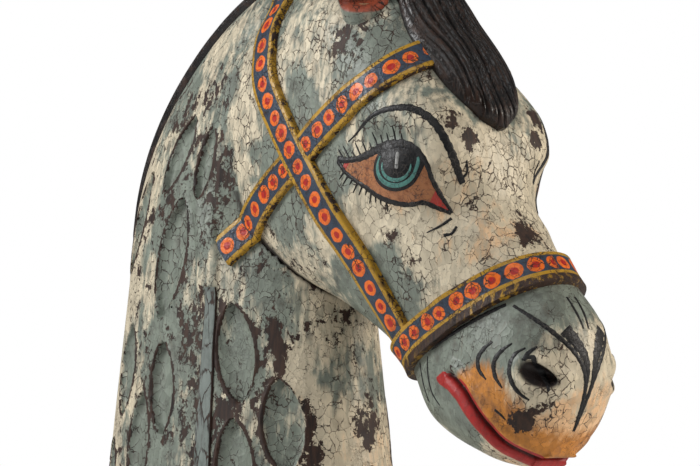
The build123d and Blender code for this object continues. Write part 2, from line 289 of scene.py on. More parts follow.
def surface_net(values, low, cell):
    """Corners and quads of the surface where a lattice of values changes sign."""
    inside = values < 0
    cells = tuple(n - 1 for n in values.shape)
    shifts = [(i, j, k) for i in (0, 1) for j in (0, 1) for k in (0, 1)]

    def part(array, shift):
        return array[tuple(slice(s, s + n) for s, n in zip(shift, cells))]

    count = sum(part(inside, s).astype(np.int8) for s in shifts)
    active = (count > 0) & (count < 8)
    index = np.full(cells, -1)
    index[active] = np.arange(active.sum())
    corner_values = np.array([part(values, s)[active] for s in shifts])
    total, weight = np.zeros((active.sum(), 3)), np.zeros(active.sum())
    for a in range(8):
        for b in range(a + 1, 8):
            va, vb = corner_values[a], corner_values[b]
            if sum(x != y for x, y in zip(shifts[a], shifts[b])) != 1:
                continue
            cross = (va < 0) != (vb < 0)
            s = np.where(cross, va / np.where(cross, va - vb, 1), 0)[:, None]
            point = np.array(shifts[a]) + s * (np.array(shifts[b]) - np.array(shifts[a]))
            total += np.where(cross[:, None], point, 0)
            weight += cross
    points = np.argwhere(active) + total / weight[:, None]
    quads = []
    for axis in range(3):
        u, v = (axis + 1) % 3, (axis + 2) % 3
        ahead = np.roll(inside, -1, axis)
        change = inside != ahead
        limit = [slice(1, n - 1) for n in values.shape]
        limit[axis] = slice(0, values.shape[axis] - 1)
        spots = np.argwhere(change[tuple(limit)]) + [s.start for s in limit]
        back_u, back_v = np.eye(3, dtype=int)[u], np.eye(3, dtype=int)[v]
        ring = [spots - back_u - back_v, spots - back_v, spots, spots - back_u]
        quad = np.array([index[tuple(r.T)] for r in ring]).T
        flip = ~inside[tuple(spots.T)]
        quad[flip] = quad[flip][:, ::-1]
        quads.append(quad)
    return low + points * cell, np.concatenate(quads)


def halve(points, quads):
    """Splits each quad into four."""
    edges = np.sort(np.stack([quads, np.roll(quads, -1, 1)], 2).reshape(-1, 2), axis=1)
    unique, where = np.unique(edges, axis=0, return_inverse=True)
    where = where.reshape(-1, 4) + len(points)
    middle = np.arange(len(quads)) + len(points) + len(unique)
    grown = np.concatenate([points, points[unique].mean(1), points[quads].mean(1)])
    made = [np.stack([quads[:, i], where[:, i], middle, where[:, i - 1]], 1) for i in range(4)]
    return grown, np.concatenate(made)


def lattice_mesh(form, low, high, cell=CELL):
    """A refined closed skin of a form inside a box, as points and quads."""
    axes = [np.arange(a, b + cell, cell) for a, b in zip(low, high)]
    values = np.empty([len(a) for a in axes])
    for i, x in enumerate(axes[0]):
        y, z = np.meshgrid(axes[1], axes[2], indexing="ij")
        plane = np.stack([np.full(y.size, x), y.ravel(), z.ravel()], 1)
        values[i] = form(plane).reshape(y.shape)
    points, quads = surface_net(values, np.array(low), cell)
    points = settle(form, points)
    points, quads = halve(points, quads)
    return settle(form, points, steps=3, most=1.0), quads


def sawn(points, quads, cuts):
    """A bmesh in metres, cut off square beyond each plane (point, outward direction)."""
    mesh = bpy.data.meshes.new("blank")
    mesh.from_pydata((points * MM).tolist(), [], quads.tolist())
    made = bmesh.new()
    made.from_mesh(mesh)
    bpy.data.meshes.remove(mesh)
    for at, way in cuts:
        every = made.verts[:] + made.edges[:] + made.faces[:]
        bmesh.ops.bisect_plane(made, geom=every, dist=1e-7, plane_co=Vector(at) * MM,
                               plane_no=way, clear_outer=True)
        rim = [e for e in made.edges if e.is_boundary
               and all(abs((v.co - Vector(at) * MM).dot(Vector(way))) < 2e-6 for v in e.verts)]
        bmesh.ops.triangle_fill(made, use_beauty=True, edges=rim, normal=way)
    bmesh.ops.recalc_face_normals(made, faces=made.faces[:])
    return made


def finish_piece(name, mesh, material, nodes):
    """Puts a finished mesh in the scene, on the bust, in the place of its frame nodes."""
    piece = bpy.data.objects.new(name, mesh)
    bpy.context.scene.collection.objects.link(piece)
    mesh.materials.append(material)
    mesh.shade_smooth()
    mesh.set_sharp_from_angle(angle=math.radians(48))
    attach(piece, "root")
    if nodes:
        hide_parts(*nodes)
    return piece


body_paint = bpy.data.materials.new("Body paint")

REAR = (0.0, 1.0, 0.0)
FRONT = (0.0, -1.0, 0.0)
joint_point = (0.0, -JOINT_FORWARD, 0.0)
muzzle_forward, muzzle_up = from_head(MUZZLE_JOINT, 0.0)
muzzle_point = (0.0, -muzzle_forward, muzzle_up)
muzzle_way = (0.0, -math.cos(FACE_SLOPE), -math.sin(FACE_SLOPE))


def mirrored(way):
    """The opposite direction."""
    return tuple(-w for w in way)


rear_skin = lattice_mesh(whole_form, (-76, -24, -6), (76, 124, 408), REAR_CELL)
front_skin = lattice_mesh(front_neck_form, (-76, -118, -6), (76, -12, 228))
head_skin = lattice_mesh(head_form, (-70, -300, 66), (70, -12, 408))
muzzle_skin = lattice_mesh(head_form, (-60, -300, 58), (60, -138, 202), MUZZLE_CELL)
blocks = {
    "neck_rear_block": (rear_skin, [(joint_point, FRONT)]),
    "neck_front_block": (front_skin, [(joint_point, REAR), ((0, 0, COLLAR_HEIGHT), (0, 0, 1))]),
    "head_right_half": (head_skin, [(joint_point, REAR), (muzzle_point, muzzle_way),
                                    ((0, 0, 0), (1, 0, 0))]),
    "head_left_half": (head_skin, [(joint_point, REAR), (muzzle_point, muzzle_way),
                                   ((0, 0, 0), (-1, 0, 0))]),
    "muzzle_block": (muzzle_skin, [(muzzle_point, mirrored(muzzle_way))]),
}
for node, ((points, quads), cuts) in blocks.items():
    made = sawn(points, quads, cuts)
    mesh = bpy.data.meshes.new(node)
    made.to_mesh(mesh)
    made.free()
    finish_piece("Carved_" + node, mesh, body_paint, [node])

# ------------------------------------------------------------------ painted wood
# Every block carries the same finish: dark brown hardwood under a thick grey-green and cream
# paint that has crazed, flaked and been rubbed back. The flaking, crazing and grain are shared
# effects, so each is one node group that the materials place with their own values.


def fed(tree, made, inputs):
    """A node with its inputs set, each to a value or to another node's output."""
    for key, value in dict(inputs).items():
        if isinstance(value, bpy.types.NodeSocket):
            tree.links.new(value, made.inputs[key])
        else:
            made.inputs[key].default_value = value
    return made


def add(tree, kind, inputs=(), **settings):
    """A new shader node with its settings and its inputs."""
    made = tree.nodes.new("ShaderNode" + kind)
    for key, value in settings.items():
        setattr(made, key, value)
    return fed(tree, made, inputs)


def calc(tree, operation, first, second=0.0, third=0.0):
    """One arithmetic step."""
    made = add(tree, "Math", {0: first, 1: second}, operation=operation)
    if operation == "MULTIPLY_ADD":
        made.inputs[2].default_value = third
    return made.outputs[0]


def ramp(tree, value, start, end, low=0.0, high=1.0):
    """A smooth rise from low to high as value goes from start to end."""
    return add(tree, "MapRange", {"Value": value, "From Min": start, "From Max": end,
                                  "To Min": low, "To Max": high},
               interpolation_type="SMOOTHSTEP").outputs["Result"]


def blend_colour(tree, factor, first, second, how="MIX"):
    """A mix of two colours."""
    made = add(tree, "Mix", {0: factor}, data_type="RGBA", blend_type=how)
    for index, colour in ((6, first), (7, second)):
        if isinstance(colour, bpy.types.NodeSocket):
            tree.links.new(colour, made.inputs[index])
        else:
            made.inputs[index].default_value = (*colour, 1.0)
    return made.outputs[2]


def fact(tree, name):
    """A value that the mesh carries."""
    return add(tree, "Attribute", attribute_name=name).outputs["Fac"]


def noise(tree, where, scale, detail=3.0, rough=0.55):
    """One layer of cloudy noise, around one half."""
    return add(tree, "TexNoise", {"Vector": where, "Scale": scale, "Detail": detail,
                                  "Roughness": rough}).outputs["Fac"]


def new_group(name, inputs, outputs):
    """An empty node group with named sockets, and its two end nodes."""
    tree = bpy.data.node_groups.new(name, "ShaderNodeTree")
    for label, default in inputs.items():
        socket = tree.interface.new_socket(label, in_out="INPUT", socket_type="NodeSocketFloat")
        socket.default_value = default
    for label, kind in outputs.items():
        tree.interface.new_socket(label, in_out="OUTPUT", socket_type="NodeSocket" + kind)
    return tree, tree.nodes.new("NodeGroupInput").outputs, tree.nodes.new("NodeGroupOutput").inputs


def flaking_group():
    """Where paint is gone: crazing lines between flakes, and whole flakes in patches."""
    tree, given, out = new_group(
        "Flaking paint",
        {"Flakes per metre": 190.0, "Crack width": 0.07, "Crazing": 0.6, "Loss": 0.0,
         "Upright stretch": 1.0},
        {"Bare": "Float", "Flake tone": "Float", "Height": "Float"})
    spot = add(tree, "TexCoord").outputs["Object"]
    stretch = add(tree, "CombineXYZ", {"X": 1.0, "Y": 1.0, "Z": given["Upright stretch"]})
    spot = add(tree, "VectorMath", {0: spot, 1: stretch.outputs[0]},
               operation="MULTIPLY").outputs[0]
    wobble = add(tree, "TexNoise", {"Vector": spot, "Scale": 120.0, "Detail": 6.0,
                                    "Roughness": 0.6})
    centred = add(tree, "VectorMath", {0: wobble.outputs["Color"], 1: (0.5, 0.5, 0.5)},
                  operation="SUBTRACT").outputs[0]
    shifted = add(tree, "VectorMath", {0: centred, 1: (0.0070, 0.0070, 0.0070), 2: spot},
                  operation="MULTIPLY_ADD").outputs[0]
    lines = add(tree, "TexVoronoi", {"Vector": shifted, "Scale": given["Flakes per metre"]},
                feature="DISTANCE_TO_EDGE").outputs["Distance"]
    fine_scale = calc(tree, "MULTIPLY", given["Flakes per metre"], 2.7)
    fine = add(tree, "TexVoronoi", {"Vector": shifted, "Scale": fine_scale},
               feature="DISTANCE_TO_EDGE").outputs["Distance"]
    cells = add(tree, "TexVoronoi", {"Vector": shifted, "Scale": given["Flakes per metre"]})
    tone = add(tree, "SeparateColor", {"Color": cells.outputs["Color"]}).outputs[0]
    where = noise(tree, spot, 38.0, 4.0, 0.6)
    opening = ramp(tree, where, 0.40, 0.66, 0.3, 1.7)
    open_cracks = calc(tree, "MULTIPLY", given["Crack width"], opening)
    narrow = calc(tree, "MULTIPLY", open_cracks, 0.35)
    crack = add(tree, "MapRange", {"Value": lines, "From Min": narrow, "From Max": open_cracks,
                                   "To Min": 1.0, "To Max": 0.0}).outputs["Result"]
    gaps = ramp(tree, noise(tree, spot, 130.0, 4.0, 0.6), 0.36, 0.54)
    crack = calc(tree, "MULTIPLY", crack, calc(tree, "MULTIPLY", gaps, ramp(tree, where, 0.30, 0.50)))
    craze = ramp(tree, fine, 0.015, 0.07, 1.0, 0.0)
    patchy = ramp(tree, noise(tree, spot, 62.0, 5.0, 0.65), 0.50, 0.66)
    craze = calc(tree, "MULTIPLY", calc(tree, "MULTIPLY", craze, patchy), given["Crazing"])
    broad = noise(tree, spot, 30.0, 9.0, 0.70)
    speck = noise(tree, spot, 340.0, 3.0, 0.6)
    chips = noise(tree, shifted, 135.0, 6.0, 0.7)
    field = calc(tree, "MULTIPLY_ADD", broad, 0.75, -0.02)
    for layer, weight in ((speck, 0.22), (chips, 0.50), (tone, 0.10)):
        field = calc(tree, "ADD", field, calc(tree, "MULTIPLY", layer, weight))
    field = calc(tree, "ADD", field, given["Loss"])
    lost = ramp(tree, field, 0.94, 0.965)
    grit = ramp(tree, noise(tree, spot, 700.0, 2.0, 0.5), 0.61, 0.66)
    grit = calc(tree, "MULTIPLY", grit, ramp(tree, field, 0.80, 0.92, 0.0, 0.9))
    lost = calc(tree, "MAXIMUM", lost, grit)
    bare = calc(tree, "MAXIMUM", lost, calc(tree, "MAXIMUM", crack, craze))
    tree.links.new(bare, out["Bare"])
    tree.links.new(tone, out["Flake tone"])
    curl = calc(tree, "MULTIPLY", ramp(tree, lines, 0.0, 0.22, 1.0, 0.0), 0.25)
    height = calc(tree, "MULTIPLY", calc(tree, "SUBTRACT", 1.0, bare), calc(tree, "ADD", curl, 0.8))
    tree.links.new(height, out["Height"])
    return tree


def grain_group():
    """Dark hardwood that has soaked up years of dirt and wax."""
    tree, given, out = new_group("Old wood", {"Darkness": 0.5}, {"Color": "Color", "Height": "Float"})
    spot = add(tree, "TexCoord").outputs["Object"]
    drawn = add(tree, "VectorMath", {0: spot, 1: (420.0, 420.0, 42.0)}, operation="MULTIPLY")
    streak = noise(tree, drawn.outputs[0], 1.0, 4.0, 0.6)
    soft = noise(tree, spot, 55.0, 4.0, 0.6)
    colour = blend_colour(tree, ramp(tree, streak, 0.3, 0.72), (0.011, 0.006, 0.005),
                          (0.058, 0.026, 0.015))
    colour = blend_colour(tree, ramp(tree, soft, 0.40, 0.75, 0.0, 0.55), colour, (0.070, 0.038, 0.025))
    colour = blend_colour(tree, given["Darkness"], colour, (0.016, 0.012, 0.011))
    tree.links.new(colour, out["Color"])
    tree.links.new(calc(tree, "MULTIPLY", streak, 0.12), out["Height"])
    return tree


def dirt_group():
    """Uneven handling: broad fading, small stains and rubbed brush marks."""
    tree, given, out = new_group("Handled paint", {"Size": 1.0},
                                 {"Fade": "Float", "Stain": "Float", "Brush": "Float"})
    spot = add(tree, "TexCoord").outputs["Object"]
    fade = noise(tree, spot, calc(tree, "MULTIPLY", given["Size"], 17.0), 4.0, 0.6)
    tree.links.new(ramp(tree, fade, 0.34, 0.66), out["Fade"])
    stain = noise(tree, spot, calc(tree, "MULTIPLY", given["Size"], 85.0), 6.0, 0.68)
    tree.links.new(ramp(tree, stain, 0.46, 0.74), out["Stain"])
    drawn = add(tree, "VectorMath", {0: spot, 1: (260.0, 260.0, 70.0)}, operation="MULTIPLY")
    tree.links.new(noise(tree, drawn.outputs[0], 1.0, 4.0, 0.6), out["Brush"])
    return tree


FLAKING = flaking_group()
OLD_WOOD = grain_group()
HANDLED = dirt_group()


def place_group(tree, group, inputs=()):
    """A group placed in a material with its own values."""
    made = tree.nodes.new("ShaderNodeGroup")
    made.node_tree = group
    return fed(tree, made, inputs).outputs


WAXED_SPECULAR = 0.32


def finish_material(material, colour, rough, height, depth=0.00035, strength=0.8):
    """Feeds a material's own Principled shader."""
    tree = material.node_tree
    shader = tree.nodes["Principled BSDF"]
    bump = add(tree, "Bump", {"Height": height, "Distance": depth, "Strength": strength})
    tree.links.new(colour, shader.inputs["Base Color"])
    tree.links.new(rough, shader.inputs["Roughness"])
    tree.links.new(bump.outputs["Normal"], shader.inputs["Normal"])
    shader.inputs["Specular IOR Level"].default_value = WAXED_SPECULAR


def painted(material, tint, flakes, crack, crazing, loss, stretch=1.0):
    """Old paint over wood: tint(tree, fade, stain) gives the colour, the groups the wear."""
    material.use_nodes = True
    tree = material.node_tree
    wear = place_group(tree, FLAKING, {
        "Flakes per metre": flakes, "Crack width": crack(tree) if callable(crack) else crack,
        "Crazing": crazing, "Loss": loss(tree) if callable(loss) else loss,
        "Upright stretch": stretch})
    wood = place_group(tree, OLD_WOOD, {"Darkness": 0.25})
    handled = place_group(tree, HANDLED)
    colour = tint(tree, handled)
    shade = ramp(tree, wear["Flake tone"], 0.0, 1.0, 0.86, 1.10)
    shade = calc(tree, "MULTIPLY", shade, ramp(tree, handled["Brush"], 0.25, 0.75, 0.84, 1.12))
    colour = add(tree, "VectorMath", {0: colour, 1: shade}, operation="MULTIPLY").outputs[0]
    colour = blend_colour(tree, wear["Bare"], colour, wood["Color"])
    rough = ramp(tree, wear["Bare"], 0.0, 1.0, PAINT_ROUGH, WOOD_ROUGH)
    rough = calc(tree, "ADD", rough, calc(tree, "MULTIPLY", handled["Stain"], 0.12))
    height = calc(tree, "ADD", wear["Height"], wood["Height"])
    finish_material(material, colour, rough, height)


PAINT_ROUGH = 0.42
WOOD_ROUGH = 0.62
BLUE = (0.195, 0.222, 0.184)
DEEP_BLUE = (0.092, 0.114, 0.101)
CREAM = (0.60, 0.525, 0.385)
PEACH = (0.70, 0.45, 0.25)
OCHRE = (0.52, 0.205, 0.035)
LIP_RED = (0.36, 0.018, 0.016)
# near black, for painted shade in the hollows and creases and for the darkened leaf rims
SHADE_AND_GRIME = (0.014, 0.009, 0.008)


def carved_tint(tree, handled):
    """Grey-green and cream, with ochre and red round the mouth, and painted shade in the hollows."""
    cream = calc(tree, "ADD", fact(tree, "cream"), ramp(tree, handled["Fade"], 0, 1, -0.28, 0.28))
    cream = calc(tree, "ADD", cream, ramp(tree, handled["Brush"], 0.3, 0.7, -0.16, 0.16))
    blue = blend_colour(tree, handled["Stain"], BLUE, DEEP_BLUE)
    colour = blend_colour(tree, ramp(tree, cream, 0.30, 0.72), blue, CREAM)
    colour = blend_colour(tree, ramp(tree, cream, 1.0, 1.5), colour, PEACH)
    ochre = calc(tree, "ADD", fact(tree, "ochre"), ramp(tree, handled["Fade"], 0, 1, 0.12, -0.18))
    ochre = calc(tree, "ADD", ochre, ramp(tree, handled["Brush"], 0.3, 0.7, 0.12, -0.16))
    earth = blend_colour(tree, handled["Stain"], OCHRE, (0.26, 0.095, 0.025))
    colour = blend_colour(tree, ramp(tree, ochre, 0.15, 0.80), colour, earth)
    colour = blend_colour(tree, calc(tree, "MULTIPLY", handled["Stain"], 0.28), colour,
                          (0.17, 0.125, 0.085))
    red = calc(tree, "ADD", fact(tree, "red"), ramp(tree, handled["Brush"], 0.3, 0.7, -0.08, 0.08))
    colour = blend_colour(tree, ramp(tree, red, 0.42, 0.56), colour, LIP_RED)
    # painted shade: the hollows and creases are darkened in the colour
    return blend_colour(tree, fact(tree, "shade_and_grime"), colour, SHADE_AND_GRIME)


def carved_loss(tree):
    """The mesh says where more or less paint is gone."""
    return calc(tree, "MULTIPLY_ADD", fact(tree, "bare"), 0.26, 0.004)


def carved_cracks(tree):
    """Cracks open up on the dry cream areas and stay closed where the paint is calm."""
    return ramp(tree, fact(tree, "calm"), 0.0, 1.0, 0.046, 0.008)


painted(body_paint, carved_tint, 195.0, carved_cracks, 0.5, carved_loss, 0.8)

# Rubbed-through places: side, forward, up, radius across, radius up, strength.
BARE_PLACES = [
    (36.0, 124.0, 330.0, 20.0, 20.0, 1.2), (38.0, 100.0, 342.0, 14.0, 12.0, 0.6),
    (41.0, 61.0, 165.0, 8.0, 16.0, 1.1), (40.0, 66.0, 140.0, 7.5, 22.0, 1.1),
    (36.0, 84.0, 112.0, 9.0, 24.0, 1.3), (35.0, 88.0, 84.0, 9.0, 24.0, 1.2),
    (46.0, 168.0, 218.0, 13.0, 8.0, 0.95), (42.0, 178.0, 206.0, 14.0, 7.0, 0.8),
    (35.0, 204.0, 287.0, 9.0, 10.0, 0.95), (28.0, 211.0, 278.0, 8.0, 9.0, 0.9),
    (42.0, 195.0, 262.0, 8.0, 6.0, 0.85), (10.0, 216.0, 290.0, 13.0, 12.0, 0.9),
    (3.0, 227.0, 258.0, 11.0, 26.0, 1.0), (3.0, 234.0, 224.0, 11.0, 24.0, 1.0),
    (3.0, 252.0, 174.0, 13.0, 14.0, 1.15), (8.0, 263.0, 158.0, 12.0, 14.0, 0.95),
    (30.0, 256.0, 111.0, 10.5, 10.0, 1.35), (22.0, 262.0, 120.0, 12.0, 9.0, 0.95),
    (34.0, 228.0, 128.0, 10.0, 8.0, 0.7), (20.0, 266.0, 140.0, 10.0, 10.0, 0.6),
    (52.0, 86.0, 200.0, 24.0, 12.0, 0.7), (50.0, 2.0, 160.0, 9.0, 90.0, 0.45),
    (46.0, 62.0, 222.0, 15.0, 12.0, 0.5), (40.0, 20.0, 300.0, 18.0, 26.0, 0.5),
    (46.0, -50.0, 60.0, 20.0, 30.0, 0.5), (30.0, -85.0, 120.0, 18.0, 50.0, 0.45),
    (56.0, -40.0, 175.0, 8.0, 30.0, 0.5), (34.0, 100.0, 150.0, 9.0, 14.0, 0.5),
]


def brush_facts(p):
    """Where each colour, each kind of wear and the painted shade lie on the carved blocks, from 0 to 1."""
    side, forward, up = np.abs(p[:, 0]), -p[:, 1], p[:, 2]
    t, o = to_head(forward, up)
    to_skull, to_neck = head_distance(p), neck_distance(p)
    on_head = step_up(to_neck - to_skull, -1.0, 5.0)
    depth, rim = leaf_depth(side, forward, up)
    in_leaf = step_up(depth, 0.2, 0.9)
    leaf_zone = (1 - on_head) * step_up(-up, -345.0, -290.0)
    rear = step_up(-forward, 25.0, 70.0)
    neck_cream = 0.24 + 0.62 * step_up(forward, 52.0, 80.0) + 0.42 * rear
    neck_cream = neck_cream + 0.2 * step_up(up, 250.0, 320.0) * (forward < JOINT_FORWARD)
    neck_cream = np.where((forward > JOINT_FORWARD) & (up > 200), 0.18, neck_cream)
    green = dome(np.hypot((forward - 92.0) / 16.0, (up - 128.0) / 34.0))
    neck_cream = (neck_cream - 0.5 * green) * (1 - 0.85 * in_leaf)
    face = dome(np.hypot((t - 108.0) / 62.0, (o - 62.0) / 52.0))
    head_cream = 0.42 + 0.55 * np.clip(face * 1.8, 0, 1) + 0.2 * step_up(-o, 40.0, 90.0)
    jowl = dome(np.hypot((forward - 92.0) / 34.0, (up - 202.0) / 24.0))
    head_cream = head_cream + 0.5 * jowl
    muzzle = step_up(t, MUZZLE_JOINT, MUZZLE_JOINT + 4)
    snout = 0.12 + 0.75 * step_up(t + 0.55 * (o - 60), 196.0, 226.0) + 0.45 * step_up(t, 225.0, 250.0)
    head_cream = head_cream * (1 - muzzle) + snout * muzzle
    cream = neck_cream * (1 - on_head) + head_cream * on_head
    mouth, share = polyline_distance(t, o, MOUTH_LINE)
    lip_out = np.interp(t, [a for a, _ in MOUTH_LINE], [b for _, b in MOUTH_LINE])
    above = o > lip_out
    chin = step_up(t, 186.0, 192.0)
    ochre = np.where(above, 1 - step_up(mouth, 10.0, 38.0), 0) * step_up(t, 192.0, 206.0)
    lower = np.where(above, 0, 1 - step_up(mouth, 7.0, 10.0))
    upper_lip = np.where(above, 1 - step_up(mouth, 3.6, 5.6), 0) * step_up(t, 196.0, 204.0)
    red = np.maximum(lower, upper_lip) * chin * muzzle
    bare = np.zeros(len(p))
    for s, f, u, across, tall, strength in BARE_PLACES:
        near = np.sqrt(((side - s) / across) ** 2 + ((forward - f) / across) ** 2
                       + ((up - u) / tall) ** 2)
        bare = np.maximum(bare, strength * np.clip(1.25 - near, 0, 1))
    between = 0.30 + 0.20 * step_up(forward, -70.0, -20.0) * step_up(-forward, -75.0, -50.0)
    bare = np.maximum(bare, leaf_zone * (between + 1.0 * rim * (1 - in_leaf)))
    bare = bare - 0.45 * in_leaf * leaf_zone - 0.5 * red
    calm = np.maximum.reduce([red, 0.4 * in_leaf * leaf_zone, 0.7 * ochre * muzzle,
                              0.6 * muzzle * (1 - np.clip(cream, 0, 1)), 0.4 * (1 - on_head)])
    # Painted shade: jaw-neck crease, nostril pit and mouth line darkened in the colour; leaf rims too.
    crease = np.clip(1 - np.abs(to_skull) / 3.0, 0, 1) * (1 - on_head)
    jaw_edge = np.clip(1.3 - to_neck / 5.0, 0, 1) * step_up(to_neck - to_skull, 0.1, 0.7)
    crease = np.maximum(crease, jaw_edge * (up < 232))
    pit = np.hypot(((t - NOSTRIL[1]) * 0.93 + (o - NOSTRIL[2]) * 0.36) / 10.0,
                   ((o - NOSTRIL[2]) * 0.93 - (t - NOSTRIL[1]) * 0.36) / 6.2)
    pit = np.where(side > 12, 1 - step_up(pit, 0.85, 1.12), 0)
    groove = (1 - step_up(mouth, 0.8, 2.0)) * step_up(share, 0.03, 0.1) * muzzle
    edge = leaf_zone * step_up(rim, 0.55, 0.95) * (1 - in_leaf) * 0.65
    shade_and_grime = np.maximum.reduce([crease * (up < 245), pit, groove * 0.9, edge])
    return {"cream": cream, "ochre": ochre * muzzle, "red": red, "bare": bare, "shade_and_grime": shade_and_grime,
            "calm": calm}


for node in blocks:
    mesh = bpy.data.objects["Carved_" + node].data
    places = np.empty(len(mesh.vertices) * 3, np.float32)
    mesh.vertices.foreach_get("co", places)
    for name, values in brush_facts(places.reshape(-1, 3).astype(float) / MM).items():
        mesh.attributes.new(name, "FLOAT", "POINT").data.foreach_set(
            "value", np.clip(values, -1, 1.5).astype(np.float32))

# ------------------------------------------------------------------ bridle straps
# The bridle is left standing proud of the head as flat raised bands, about four millimetres
# high with square edges. Crown, cheek, brow and throat bands cross over the cheek bone. They are
# painted freehand: dark blue with mustard edges and a row of orange dots with red middles.

HANDS = (("right", -1), ("left", 1))
STRAP_HALF = 10.0
STRAP_LIFT = 4.2
UNDER_LIFT = 3.6
BAND_SINK = 1.2
BAND_STEP = 1.6
# forward and up of a place on the middle plane, and the direction from it, in degrees from up
CROWN_ROUTE = [(95, 264, 90), (82, 280, 90), (71, 294, 90), (61, 310, 90), (55, 326, 90),
               (51, 342, 88), (50, 346, 66), (50, 346, 42), (51, 346, 20), (52, 346, 5)]
CHEEK_ROUTE = [(95, 264, 90), (107, 250, 90), (119, 235, 90), (130, 220, 90), (141, 202, 90),
               (153, 179, 90), (161, 163, 90), (166, 152, 90)]
BROW_ROUTE = [(95, 264, 90), (115, 281, 90), (136, 296, 90), (152, 306, 90), (170, 317, 84),
              (176, 321, 70)]
THROAT_ROUTE = [(95, 264, 90), (78, 252, 90), (61, 239, 90), (42, 223, 90), (25, 208, 90)]


def unit(v):
    """Vectors scaled to length one."""
    return v / np.maximum(np.linalg.norm(v, axis=-1, keepdims=True), 1e-9)


def cast(form, origins, ways, far=190.0):
    """Where lines from inside a form come out through its surface."""
    near, beyond = np.zeros(len(origins)), np.full(len(origins), far)
    for _ in range(20):
        middle = (near + beyond) / 2
        outside = form(origins + ways * middle[:, None]) > 0
        near, beyond = np.where(outside, near, middle), np.where(outside, middle, beyond)
    return settle(form, origins + ways * beyond[:, None], steps=1)


def route_points(route, hand):
    """Points on the bust's surface for a strap's route."""
    forward, up, turn = np.array(route, float).T
    turn = np.radians(turn)
    origins = np.stack([0 * forward, -forward, up], 1)
    ways = np.stack([hand * np.sin(turn), 0 * turn, np.cos(turn)], 1)
    return cast(whole_form, origins, ways)


def even_line(points, gap):
    """A smooth line through points, at even spacing, and the distance along it."""
    lengths = np.cumsum(np.r_[0, np.linalg.norm(np.diff(points, axis=0), axis=1)])
    steps = max(int(lengths[-1] / gap), 3)
    places = np.linspace(0, lengths[-1], steps + 1)
    return along_table(np.column_stack([lengths, points]), places).T, places


def ribbon_grid(form, line, offsets):
    """Rows of points across a line, laid on a form's surface."""
    line = settle(form, line)
    normal = unit(gradient(form, line))
    across = unit(np.cross(normal, np.gradient(line, axis=0)))
    offsets = np.broadcast_to(offsets, (len(line), np.shape(offsets)[-1]))
    grid = line[:, None] + across[:, None] * offsets[..., None]
    return settle(form, grid.reshape(-1, 3)).reshape(grid.shape)


def skin(form, grid, lift, sink, facts, closed=False):
    """A closed mesh, in metres, over a grid on a form: its top lifted and its underside sunk."""
    rows, columns = grid.shape[:2]
    flat = grid.reshape(-1, 3)
    normal = unit(gradient(form, flat, reach=1.2)).reshape(grid.shape)
    lift = np.broadcast_to(lift, (rows, columns))[..., None]
    top, bottom = grid + normal * lift, grid - normal * sink
    points = np.concatenate([top.reshape(-1, 3), bottom.reshape(-1, 3)]) * MM
    index = np.arange(rows * columns).reshape(rows, columns)
    if closed:
        index = np.concatenate([index, index[:1]])
    upper = np.stack([index[:-1, :-1], index[1:, :-1], index[1:, 1:], index[:-1, 1:]], -1)
    upper = upper.reshape(-1, 4)
    under = upper[:, ::-1] + rows * columns
    rims = [index[:, 0], index[::-1, -1]]
    if not closed:
        rims += [index[0, ::-1], index[-1, :]]
    walls = [np.stack([r[:-1], r[:-1] + rows * columns, r[1:] + rows * columns, r[1:]], 1)
             for r in rims]
    mesh = bpy.data.meshes.new("skin")
    mesh.from_pydata(points.tolist(), [], np.concatenate([upper, under, *walls]).tolist())
    for name, values in facts.items():
        layer = mesh.attributes.new(name, "FLOAT", "POINT")
        values = np.broadcast_to(values, (rows, columns)).reshape(-1).astype(np.float32)
        layer.data.foreach_set("value", np.concatenate([values, values]))
    made = bmesh.new()
    made.from_mesh(mesh)
    bmesh.ops.recalc_face_normals(made, faces=made.faces[:])
    made.to_mesh(mesh)
    made.free()
    return mesh


def band(line, along, half, lift):
    """A raised band with square, slightly softened edges."""
    share = np.array([-1, -0.965, -0.89, -0.6, -0.3, 0, 0.3, 0.6, 0.89, 0.965, 1.0])
    crown = lift + 0.25 - 0.25 * share**2 - np.where(np.abs(share) > 0.99, 0.95, 0)
    crown = crown - np.where(np.abs(np.abs(share) - 0.965) < 0.01, 0.25, 0)
    half = np.broadcast_to(half, (len(line),))[:, None]
    grid = ribbon_grid(whole_form, line, half * share)
    facts = {"along": along[:, None], "across": half * share, "edge": share}
    return skin(whole_form, grid, crown, BAND_SINK, facts)


NAVY = (0.030, 0.048, 0.078)
MUSTARD = (0.44, 0.245, 0.022)
ORANGE = (0.80, 0.155, 0.014)
DOT_RED = (0.40, 0.016, 0.012)
DOT_PITCH = 12.4
DOT_RADIUS = 4.5
DOT_MIDDLE = 1.9
BEYOND_EDGE = 30.0


